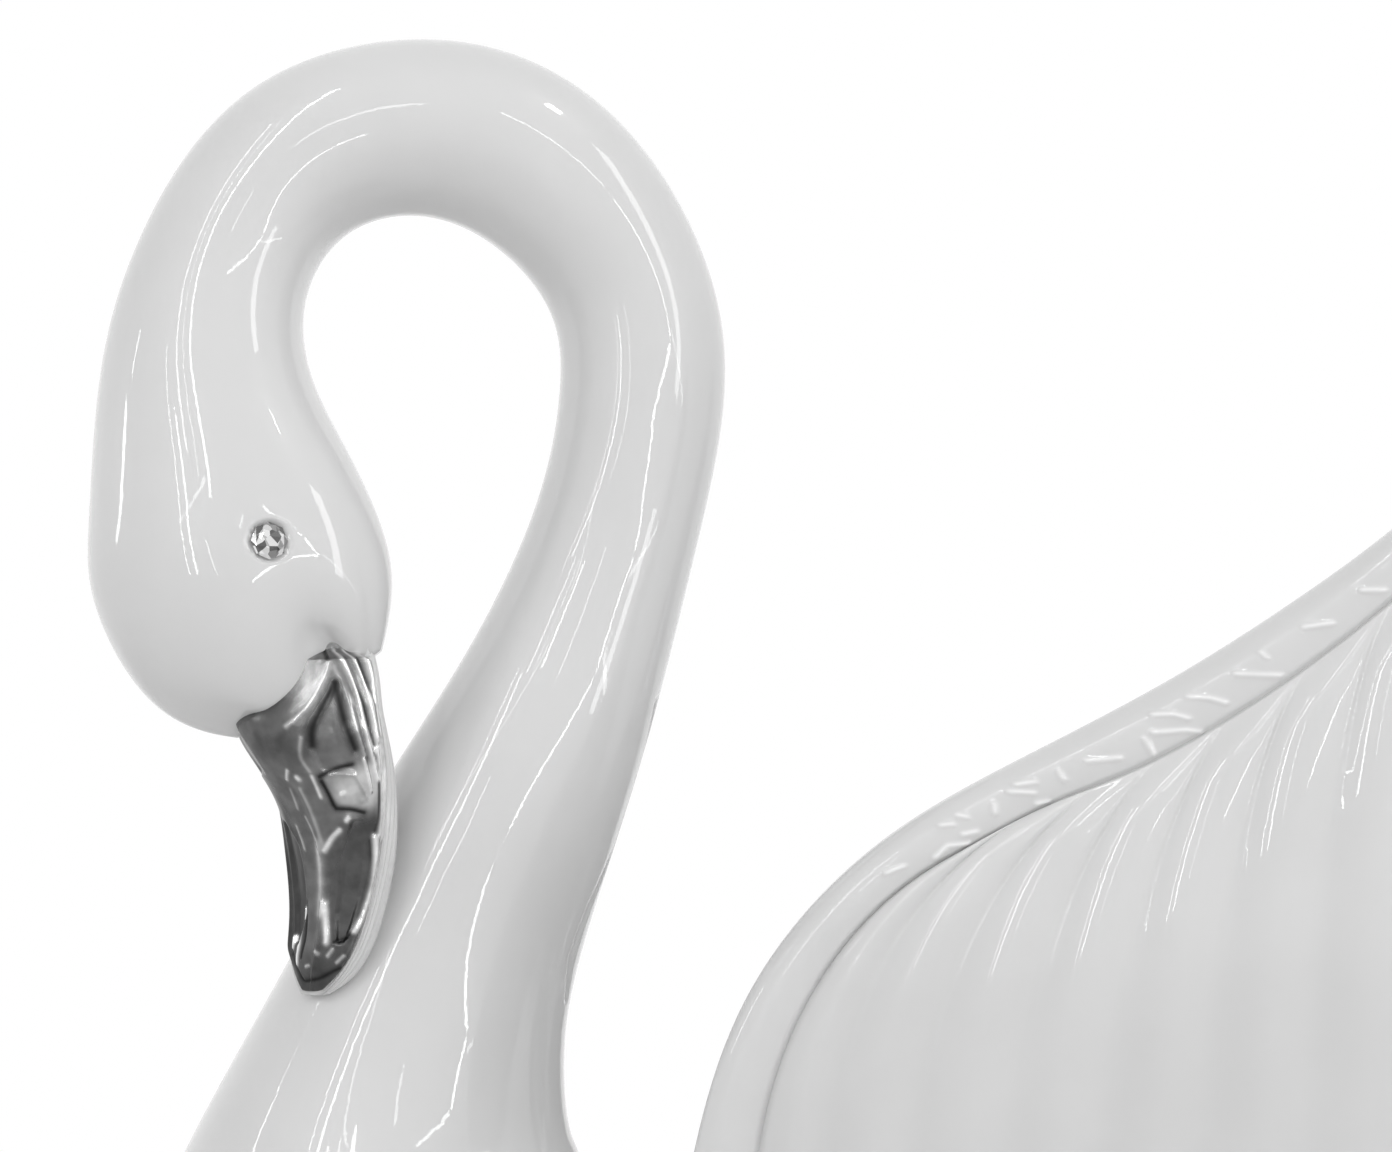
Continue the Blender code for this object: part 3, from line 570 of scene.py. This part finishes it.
def make_bill_core():
    """White bill below the cover's rim."""
    around = np.linspace(-180, 180, CORE_SIDES, endpoint=False)
    rings = []
    for row in bill_rows(0.0):
        sunk = CORE_TOP_SINK * smooth((row[0] - COVER_TOP + COVER_TOP_RUN) / COVER_TOP_RUN)
        past_rim = np.abs(around) - row[-1]
        room = min(COVER_THICKNESS, TIP_SHARE * row[4]) + CORE_CLEARANCE
        inset = np.where(past_rim < 0, room + sunk, 0.0)
        for angle, depth in CORE_GROOVES:
            inset = inset + depth * bump(past_rim, angle, CORE_GROOVE_SPREAD)
        rings.append(bill_points(row, around, inset))
    rounded_off = close_ends(np.array(rings), CORE_END_DEPTH, CORE_END_STEPS)
    return add_mesh("bill_core", [rounded_off], closed=True)


def recess(share, height, left, right):
    """1 inside a sunk panel; its two edges run through (height, share) points."""
    left_edge = np.interp(height, *zip(*left))
    right_edge = np.interp(height, *zip(*right))
    ends = smooth((height - left[0][0]) / PANEL_END) * smooth((left[-1][0] - height) / PANEL_END)
    return ends * smooth((share - left_edge) / PANEL_SLOPE) * smooth((right_edge - share) / PANEL_SLOPE)


def cover_relief(share, height):
    """Height of the cover's chased relief, by share of the way out to its rim."""
    side = np.abs(share)
    bead = bump(side, COVER_BEAD_SHARE, COVER_BEAD_SPREAD) * smooth((height - NAIL_HEIGHT) / RELIEF_RUN)
    ridge = bump(share, RIDGE_SHARE, RIDGE_SPREAD) * smooth((RIDGE_TOP - height) / RELIEF_RUN)
    panels = recess(side, height, *UPPER_PANEL) + recess(side, height, *LOWER_PANEL)
    return COVER_BEAD * bead + RIDGE_HEIGHT * ridge - PANEL_DEPTH * panels


def near_line(points, line, half_width):
    """1 on a line through space, falling to 0 away from it."""
    away = np.full(points.shape[:-1], np.inf)
    for start, end in zip(line, line[1:]):
        way = end - start
        share = np.clip((points - start) @ way / max(way @ way, LEAST_LENGTH), 0, 1)
        away = np.minimum(away, np.linalg.norm(points - start - share[..., None] * way, axis=-1))
    return np.exp(-(away / half_width) ** 2)


def cover_line(rows, line):
    """Points in space of a line that is given by heights and shares."""
    points = []
    knots = np.arange(len(line))
    at = np.linspace(0, knots[-1], LINE_STEPS * knots[-1] + 1)
    for height, share in calm_curve(knots, line, at):
        row = [np.interp(height, rows[::-1, 0], column) for column in rows[::-1].T]
        points.append(bill_points(row, np.array([share * row[-1]]))[0])
    return np.array(points)


def patina_and_reflection(shares, heights):
    """Tone of the silver before its lines are polished or sunk: partly patina, partly painted dark and
    bright reflections.
    """
    tone = np.zeros(heights.shape)
    total = np.full(heights.shape, LEAST_WEIGHT)
    for height, share, reach_up, reach_across, value in PATINA_AND_REFLECTION_ZONES:
        weight = bump(heights, height, reach_up) * bump(shares, share, reach_across)
        tone = tone + weight * value
        total = total + weight
    return tone / total


def chase_cover(rows, shares):
    """Relief and tone of the whole cover."""
    heights = np.repeat(rows[:, :1], len(shares), axis=1)
    across = np.repeat(shares[None, :], len(rows), axis=0)
    points = np.array([bill_points(row, shares * row[-1]) for row in rows])
    relief = cover_relief(across, heights)
    tone = patina_and_reflection(across, heights)
    for lines, rise, shade in ((SATIN_LINES, SATIN_RISE, SATIN_TONE),
                               (SUNK_LINES, -SUNK_DEPTH, SUNK_TONE),
                               (POLISHED_LINES, POLISHED_RISE, POLISHED_TONE)):
        for line, half_width in lines:
            near = near_line(points, cover_line(rows, line), half_width)
            relief = relief + rise * near
            tone = tone + (shade - tone) * near
    return relief, tone


def make_bill_cover():
    """Silver shell with chased relief above and a plain under side, solid at the nail."""
    shares = np.linspace(-1, 1, BILL_ARC_STEPS + 1)
    under_shares = np.linspace(1, -1, COVER_UNDER_STEPS + 1)
    rows = bill_rows(COVER_LIP)
    relief, tone = chase_cover(rows, shares)
    rings = []
    for row, rise in zip(rows, relief):
        inner = min(COVER_THICKNESS, TIP_SHARE * row[4])
        sunk = COVER_TOP_SINK * smooth((row[0] - COVER_TOP) / COVER_TOP_RUN)
        outer = bill_points(row, shares * row[-1], sunk - rise * inner / COVER_THICKNESS)
        under = bill_points(row, under_shares * row[-1], inner + sunk)
        flat = under[0] + (under[-1] - under[0]) * (1 - under_shares[:, None]) / 2
        under = flat + (under - flat) * smooth((row[0] - NAIL_HEIGHT) / NAIL_RUN)
        rings.append(np.concatenate([outer, under]))
    rounded_off = close_ends(np.array(rings), COVER_END_DEPTH, COVER_END_STEPS)
    cover = add_mesh("silver_bill_cover", [rounded_off], closed=True)
    under_tone = np.full((len(rows), len(under_shares)), SATIN_TONE)
    tones = np.concatenate([tone, under_tone], axis=1)
    tones = np.pad(tones, ((COVER_END_STEPS,) * 2, (0, 0)), mode="edge")
    # The stored tone paints patina together with dark and bright reflections into the silver's colour.
    add_tone(cover, "patina_and_reflection", tones.ravel())
    return cover


def feather_point(feather, along):
    """Middle surface of the wing's fluted field: feather number and share of its length."""
    keys = sorted(FEATHER_CURVES)
    rows = [sum(FEATHER_CURVES[k], ()) for k in keys]
    points = calm_curve(keys, rows, feather).reshape(-1, 4, 3)
    t = np.asarray(along, float)[:, None]
    blend = ((1 - t) ** 3, 3 * t * (1 - t) ** 2, 3 * t * t * (1 - t), t ** 3)
    return sum(b * points[:, i] for i, b in enumerate(blend))


def edge_fade(feather, along):
    """Share of the wing's thickness, which rounds off to nothing at each free edge."""
    trailing = rounded((1 - along) / TRAILING_RUN)
    at_tip = rounded((TIP_FEATHER - feather) / TIP_RUN)
    end = np.where(feather >= TIP_FEATHER, trailing, np.maximum(trailing, at_tip))
    rear = rounded((LAST_FEATHER - feather) / REAR_RUN)
    return end * rear * rounded(along / ROOT_RUN)


def sheet_pair(middle, outward, inward):
    """Outer and inner points at distances to both sides of a middle surface."""
    outer = np.stack([middle[:, 0], -(middle[:, 2] + outward), middle[:, 1]], axis=-1)
    inner = np.stack([middle[:, 0], -(middle[:, 2] - inward), middle[:, 1]], axis=-1)
    return outer, inner


def seam_groove(distance, fade):
    """Depth of the groove between field and band at a distance from it."""
    return SEAM_DEPTH * fade * bump(distance, 0.0, SEAM_HALF_WIDTH)


def field_sheets(feather, along):
    """Outer and inner points of the fluted field, with grooves that sharpen under the band."""
    middle = feather_point(feather, along)
    past_tip = smooth((feather - TIP_FEATHER) / LOBE_START_RUN)
    wave = np.abs(np.sin(np.pi * feather))
    arch = wave ** LOBE_POWER
    lobe = LOBE_LENGTH * past_tip * arch * smooth((along - (1 - LOBE_SHARE)) / LOBE_SHARE)
    tangent = feather_point(feather, along) - feather_point(feather, along - NEXT_SHARE)
    tangent /= np.linalg.norm(tangent, axis=1)[:, None]
    middle = middle + tangent * lobe[:, None]
    fade = edge_fade(feather, along)
    softness = smooth((FLUTE_SOFT_FROM - along) / FLUTE_SOFT_RUN)
    flute = wave ** (FLUTE_SHARP_POWER + FLUTE_SOFT_POWER * softness) * FLUTE_DEPTH
    flute = flute * smooth(along / FLUTE_START_RUN) * smooth((1 - along) / FLUTE_END_RUN) * fade
    half = WING_THICKNESS / 2 * fade
    at_band = np.where(feather <= TIP_FEATHER, (1 - along) * FIELD_LENGTH, np.inf)
    from_seam = np.minimum(at_band, feather * FEATHER_PITCH)
    return sheet_pair(middle, half + flute - seam_groove(from_seam, fade), half)


def distance_run(points):
    return np.concatenate([[0], np.cumsum(np.linalg.norm(np.diff(points, axis=0), axis=1))])


def band_edges():
    """Both edges of the leading band, at even steps along it, with feather numbers and shares.

    The inner edge runs up the first feather and then along the ends of the others. The outer one
    stays in front of it by the least width, also near the tip, where the two curves would cross.
    """
    front_part = np.linspace(0, 1, FRONT_SAMPLES)
    chain_part = np.linspace(0, TIP_FEATHER, CHAIN_SAMPLES)[1:]
    numbers = np.concatenate([np.zeros(FRONT_SAMPLES), chain_part])
    shares = np.concatenate([front_part, np.ones(len(chain_part))])
    run = distance_run(feather_point(numbers, shares))
    even = np.linspace(0, run[-1], BAND_LENGTH_STEPS)
    at = np.interp(even, run, np.arange(len(run)))
    numbers = np.interp(at, np.arange(len(run)), numbers)
    shares = np.interp(at, np.arange(len(run)), shares)
    inner_edge = feather_point(numbers, shares)
    knots = distance_run(np.array(LEADING_EDGE))
    outer_edge = cubic_spline(knots / knots[-1], LEADING_EDGE, even / even[-1])
    along = np.gradient(inner_edge, axis=0)
    forward = np.stack([-along[:, 1], along[:, 0], np.zeros(len(along))], axis=1)
    forward /= np.linalg.norm(forward, axis=1)[:, None]
    width = ((outer_edge - inner_edge) * forward).sum(axis=1)
    short = np.maximum(LEAST_BAND_WIDTH * edge_fade(numbers, shares) - width, 0)
    return outer_edge + short[:, None] * forward, inner_edge, numbers, shares, even


def band_surface(shares):
    """Rows of outer and inner points of the band, one row for each share of the way in."""
    outer_edge, inner_edge, numbers, along, run = band_edges()
    fade = edge_fade(numbers, along)
    pairs = []
    for share in shares:
        middle = outer_edge + (inner_edge - outer_edge) * share
        half = WING_THICKNESS / 2 * fade * rounded(share / BAND_EDGE_SHARE)
        swell = BAND_SWELL * fade * math.sin(math.pi * share ** BAND_SWELL_POWER)
        groove = seam_groove((1 - share) * BAND_WIDTH, fade)
        pairs.append(sheet_pair(middle, half + swell - groove, half + BAND_INNER_SWELL * swell))
    outer, inner = (np.array(rows) for rows in zip(*pairs))
    return outer, inner, run


def band_strokes():
    """The strokes that the photo shows, and the same ones again further up."""
    again = [tuple((run + BAND_REPEAT, share) for run, share in stroke)
             for stroke in BAND_STROKES
             if BAND_REPEATED_FROM < stroke[0][0] < BAND_STROKES_END - BAND_REPEAT]
    return list(BAND_STROKES) + again


def grid_point(grid, run, shares, at_run, at_share):
    """A point of a grid by its distance along and its share of the way across."""
    line = [[np.interp(at_run, run, row[:, i]) for i in range(3)] for row in grid]
    return np.array([np.interp(at_share, shares, column) for column in np.array(line).T])


def band_grids(side):
    """Outer and inner grid of the band, and how high each outer point lies on a stroke."""
    shares = 0.5 - 0.5 * np.cos(np.linspace(0, math.pi, BAND_WIDTH_STEPS + 1))
    outer, inner, run = band_surface(shares)
    rise = np.zeros(outer.shape[:2])
    for stroke in band_strokes():
        line = np.array([grid_point(outer, run, shares, *end) for end in stroke])
        rise = np.maximum(rise, near_line(outer, line, STROKE_HALF_WIDTH))
    outer[..., 1] -= STROKE_HEIGHT * rise
    thinned = inner[::BAND_INNER_EVERY, ::BAND_INNER_EVERY]
    return mirrored(outer, side), mirrored(thinned, side), rise


def mirrored(grid, side):
    return grid * np.array([1.0, side, 1.0])


def make_wing(name, side):
    """A raised wing: the fluted field and the leading band, each with two skins."""
    feather = np.linspace(0, LAST_FEATHER, LAST_FEATHER * FIELD_STEPS_PER_FEATHER + 1)
    rows = [np.linspace(a, b, n, endpoint=False) for a, b, n in FIELD_ROWS]
    along = np.concatenate([*rows, [1.0]])
    pairs = [field_sheets(np.full(len(along), f), along) for f in feather]
    outer, inner = (np.array(rows) for rows in zip(*pairs))
    outer = mirrored(outer, side)
    inner = mirrored(inner[::FIELD_INNER_EVERY, ::FIELD_INNER_EVERY], side)
    band_outer, band_inner, strokes = band_grids(side)
    wing = add_mesh(name, [outer, inner, band_outer, band_inner])
    # The strokes' share goes to the glaze colour, which paints them lighter: partly a painted highlight,
    # partly thinner glaze.
    glaze_and_highlight = np.zeros(len(wing.data.vertices))
    first = (outer.size + inner.size) // 3
    glaze_and_highlight[first:first + strokes.size] = strokes.ravel()
    add_tone(wing, "thin_glaze_and_highlight", glaze_and_highlight)
    return wing


def make_eye_stone(name, side):
    """Cut stone: a girdle, two rows of facets and a table."""
    rings = []
    for share, height, turn in STONE_CUT:
        size = STONE_DIAMETER / 2 * share
        angles = (np.arange(STONE_SIDES) + turn) * 2 * math.pi / STONE_SIDES
        heights = np.full(STONE_SIDES, height)
        rings.append(np.stack([size * np.cos(angles), size * np.sin(angles), heights], axis=-1))
    stone = add_mesh(name, [np.array(rings)], closed=True)
    stone.data.shade_flat()
    centre, normal = eye_frame(side)
    stone.rotation_mode = "QUATERNION"
    stone.rotation_quaternion = normal.to_track_quat("Z", "Y")
    stone.location = (centre - normal * STONE_SINK) * MM
    bpy.context.view_layer.update()
    return stone


def new_material(name):
    material = bpy.data.materials.new(name)
    material.use_nodes = True
    nodes = material.node_tree.nodes
    return material, nodes, material.node_tree.links, nodes["Principled BSDF"]


def noise(nodes, links, scale_and_detail, coordinates):
    texture = nodes.new("ShaderNodeTexNoise")
    texture.inputs["Scale"].default_value, texture.inputs["Detail"].default_value = scale_and_detail
    links.new(coordinates, texture.inputs["Vector"])
    return texture.outputs["Fac"]


def ramp(nodes, links, factor, greys):
    """Colour between two greys."""
    blend = nodes.new("ShaderNodeValToRGB")
    for element, position, grey in zip(blend.color_ramp.elements, RAMP_STOPS, greys):
        element.position = position
        element.color = (grey, grey, grey, 1)
    links.new(factor, blend.inputs["Fac"])
    return blend.outputs["Color"]


def add_bump(nodes, links, height, distance_and_strength, shader, previous=None):
    relief = nodes.new("ShaderNodeBump")
    relief.inputs["Distance"].default_value, relief.inputs["Strength"].default_value = distance_and_strength
    links.new(height, relief.inputs["Height"])
    if previous is not None:
        links.new(previous, relief.inputs["Normal"])
    links.new(relief.outputs["Normal"], shader.inputs["Normal"])
    links.new(relief.outputs["Normal"], shader.inputs["Coat Normal"])
    return relief.outputs["Normal"]


def tone_of(nodes, name):
    """Node that reads a tone stored on a mesh, which is 0 where the mesh has none."""
    attribute = nodes.new("ShaderNodeAttribute")
    attribute.attribute_name = name
    return attribute


def glaze_material():
    """White porcelain under a clear glaze that lies slightly uneven. The tooled strokes get a lighter
    colour, partly glaze that runs thinner there and partly a painted highlight.
    """
    material, nodes, links, shader = new_material("white_glaze")
    place = nodes.new("ShaderNodeTexCoord").outputs["Object"]
    tone = noise(nodes, links, GLAZE_TONE_NOISE, place)
    body = nodes.new("ShaderNodeMix")
    body.data_type = "RGBA"
    # Painted highlight: the strokes are made lighter, partly for thinner glaze.
    links.new(tone_of(nodes, "thin_glaze_and_highlight").outputs["Fac"], body.inputs["Factor"])
    links.new(ramp(nodes, links, tone, GLAZE_TONES), body.inputs["A"])
    body.inputs["B"].default_value = (THIN_GLAZE_AND_HIGHLIGHT_TONE, THIN_GLAZE_AND_HIGHLIGHT_TONE, THIN_GLAZE_AND_HIGHLIGHT_TONE, 1)
    links.new(body.outputs["Result"], shader.inputs["Base Color"])
    shader.inputs["Roughness"].default_value = GLAZE_BODY_ROUGHNESS
    shader.inputs["Specular IOR Level"].default_value = GLAZE_BODY_SPECULAR
    shader.inputs["Coat Weight"].default_value = 1.0
    shader.inputs["Coat Roughness"].default_value = COAT_ROUGHNESS
    shader.inputs["Coat IOR"].default_value = GLAZE_IOR
    shader.inputs["Subsurface Weight"].default_value = SUBSURFACE_WEIGHT
    shader.inputs["Subsurface Radius"].default_value = (SUBSURFACE_RADIUS,) * 3
    shader.inputs["Subsurface Scale"].default_value = SUBSURFACE_SCALE
    swell = noise(nodes, links, SWELL_NOISE, place)
    first = add_bump(nodes, links, swell, SWELL_BUMP, shader)
    fine = noise(nodes, links, FINE_NOISE, place)
    add_bump(nodes, links, fine, FINE_BUMP, shader, first)
    return material


def silver_material():
    """Silver plate whose colour is dark with patina and painted dark reflections, darkest in the hollows
    and polished off the raised lines.
    """
    material, nodes, links, shader = new_material("silver_plate")
    place = nodes.new("ShaderNodeTexCoord").outputs["Object"]
    patina_and_reflection_tone = tone_of(nodes, "patina_and_reflection")
    cloud = ramp(nodes, links, noise(nodes, links, STAIN_NOISE, place), STAIN_TONES)
    tone = nodes.new("ShaderNodeMix")
    tone.data_type = "RGBA"
    tone.blend_type = "MULTIPLY"
    tone.inputs["Factor"].default_value = 1.0
    links.new(patina_and_reflection_tone.outputs["Color"], tone.inputs["A"])
    links.new(cloud, tone.inputs["B"])
    links.new(tone.outputs["Result"], shader.inputs["Base Color"])
    shader.inputs["Metallic"].default_value = 1.0
    gloss = nodes.new("ShaderNodeMapRange")
    gloss.inputs["From Max"].default_value = POLISHED_TONE
    gloss.inputs["To Min"].default_value = DULL_ROUGHNESS
    gloss.inputs["To Max"].default_value = POLISHED_ROUGHNESS
    links.new(patina_and_reflection_tone.outputs["Fac"], gloss.inputs["Value"])
    links.new(gloss.outputs["Result"], shader.inputs["Roughness"])
    ripple = noise(nodes, links, RIPPLE_NOISE, place)
    add_bump(nodes, links, ripple, RIPPLE_BUMP, shader)
    return material


def stone_material():
    """Foil-backed stone: each facet mirrors a little differently."""
    material, nodes, links, shader = new_material("clear_stone")
    place = nodes.new("ShaderNodeTexCoord").outputs["Object"]
    cells = nodes.new("ShaderNodeTexVoronoi")
    cells.inputs["Scale"].default_value = FACET_SCALE
    links.new(place, cells.inputs["Vector"])
    links.new(ramp(nodes, links, cells.outputs["Color"], FACET_TONES), shader.inputs["Base Color"])
    shader.inputs["Metallic"].default_value = FACET_METALLIC
    shader.inputs["Roughness"].default_value = FACET_ROUGHNESS
    shader.inputs["Coat Weight"].default_value = 1.0
    shader.inputs["Coat Roughness"].default_value = COAT_ROUGHNESS
    return material


def is_seen(nodes, links):
    """1 for rays that the camera, a mirror or glass sends, 0 for rays that carry light."""
    rays = nodes.new("ShaderNodeLightPath")
    total = rays.outputs["Is Camera Ray"]
    for kind in ("Is Glossy Ray", "Is Transmission Ray"):
        larger = nodes.new("ShaderNodeMath")
        larger.operation = "MAXIMUM"
        links.new(total, larger.inputs[0])
        links.new(rays.outputs[kind], larger.inputs[1])
        total = larger.outputs[0]
    return total


def floor_material():
    """Pale floor near the swan, which runs out into the white backdrop."""
    material, nodes, links, shader = new_material("pale_floor")
    place = nodes.new("ShaderNodeTexCoord").outputs["Object"]
    grain = noise(nodes, links, FLOOR_NOISE, place)
    tones = (FLOOR_TONE, FLOOR_TONE + FLOOR_GRAIN)
    links.new(ramp(nodes, links, grain, tones), shader.inputs["Base Color"])
    shader.inputs["Roughness"].default_value = FLOOR_ROUGHNESS
    distance = nodes.new("ShaderNodeVectorMath")
    distance.operation = "LENGTH"
    links.new(nodes.new("ShaderNodeNewGeometry").outputs["Position"], distance.inputs[0])
    fade = nodes.new("ShaderNodeMapRange")
    fade.interpolation_type = "SMOOTHERSTEP"
    fade.inputs["From Min"].default_value = FLOOR_FADE_START * MM
    fade.inputs["From Max"].default_value = FLOOR_FADE_END * MM
    links.new(distance.outputs["Value"], fade.inputs["Value"])
    share = nodes.new("ShaderNodeMath")
    share.operation = "MULTIPLY"
    links.new(fade.outputs["Result"], share.inputs[0])
    links.new(is_seen(nodes, links), share.inputs[1])
    white = nodes.new("ShaderNodeEmission")
    white.inputs["Color"].default_value = (1, 1, 1, 1)
    white.inputs["Strength"].default_value = 1.0
    mix = nodes.new("ShaderNodeMixShader")
    links.new(share.outputs[0], mix.inputs["Fac"])
    links.new(shader.outputs["BSDF"], mix.inputs[1])
    links.new(white.outputs["Emission"], mix.inputs[2])
    links.new(mix.outputs["Shader"], nodes["Material Output"].inputs["Surface"])
    return material


def add_floor():
    bpy.ops.mesh.primitive_plane_add(size=FLOOR_SIZE, location=(0, 0, -FLOOR_GAP * MM))
    floor = bpy.context.object
    floor.name = "floor"
    floor.data.materials.append(floor_material())


def direction(azimuth, elevation):
    a, e = math.radians(azimuth), math.radians(elevation)
    return Vector((math.sin(a) * math.cos(e), -math.cos(a) * math.cos(e), math.sin(e)))


def add_window(name, start, end, width, brightness):
    """Narrow area light between two directions, turned to the swan."""
    one, two = (direction(*d) * LAMP_DISTANCE * MM for d in (start, end))
    out = (one + two).normalized()
    along = (two - one).normalized()
    lamp = bpy.data.lights.new(name, "AREA")
    lamp.shape = "RECTANGLE"
    lamp.size = width * MM
    lamp.size_y = (two - one).length
    lamp.energy = brightness * math.pi * lamp.size * lamp.size_y
    obj = bpy.data.objects.new(name, lamp)
    axes = Matrix((along.cross(out), along, out)).transposed()
    obj.matrix_world = Matrix.Translation(Vector(LAMP_TARGET) * MM + (one + two) / 2) @ axes.to_4x4()
    bpy.context.scene.collection.objects.link(obj)


def make_world():
    """White for rays that are seen or mirrored; softer from behind for rays that carry light."""
    world = bpy.data.worlds.new("studio")
    bpy.context.scene.world = world
    world.use_nodes = True
    nodes, links = world.node_tree.nodes, world.node_tree.links
    background = nodes["Background"]
    background.inputs["Color"].default_value = (1, 1, 1, 1)
    way = nodes.new("ShaderNodeSeparateXYZ")
    links.new(nodes.new("ShaderNodeTexCoord").outputs["Generated"], way.inputs["Vector"])
    front = nodes.new("ShaderNodeMapRange")
    front.inputs["From Min"].default_value = 1.0
    front.inputs["From Max"].default_value = -1.0
    front.inputs["To Min"].default_value = WORLD_BACK
    front.inputs["To Max"].default_value = WORLD_FRONT
    links.new(way.outputs["Y"], front.inputs["Value"])
    level = nodes.new("ShaderNodeMix")
    level.inputs["B"].default_value = 1.0
    links.new(is_seen(nodes, links), level.inputs["Factor"])
    links.new(front.outputs["Result"], level.inputs["A"])
    links.new(level.outputs["Result"], background.inputs["Strength"])


def make_camera():
    data = bpy.data.cameras.new("photo_view")
    data.sensor_width = SENSOR_WIDTH
    data.lens = SENSOR_WIDTH * CAMERA_DISTANCE / FRAME_WIDTH
    camera = bpy.data.objects.new("photo_view", data)
    out = direction(CAMERA_AZIMUTH, CAMERA_ELEVATION)
    camera.location = (Vector(CAMERA_AIM) + out * CAMERA_DISTANCE) * MM
    camera.rotation_mode = "QUATERNION"
    camera.rotation_quaternion = out.to_track_quat("Z", "Y")
    bpy.context.scene.collection.objects.link(camera)
    bpy.context.scene.camera = camera


def make_studio():
    add_floor()
    make_world()
    for number, window in enumerate(WINDOWS):
        add_window("window_" + str(number), *window)


def finish_piece(obj, node, material):
    obj.data.materials.clear()
    obj.data.materials.append(material)
    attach(obj, "root")
    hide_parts(node)


def main():
    glaze = glaze_material()
    swan_pieces = [make_body(), make_bill_core(), make_wing("left_wing", 1), make_wing("right_wing", -1)]
    for piece in swan_pieces:
        face_outward(piece)
        finish_piece(piece, "porcelain_swan", glaze)
    cover = make_bill_cover()
    face_outward(cover)
    finish_piece(cover, "bill_cover", silver_material())
    stones = stone_material()
    finish_piece(make_eye_stone("left_stone", 1), "left_eye_stone", stones)
    finish_piece(make_eye_stone("right_stone", -1), "right_eye_stone", stones)
    make_studio()
    make_camera()
    bpy.context.scene.view_settings.view_transform = "Standard"


main()
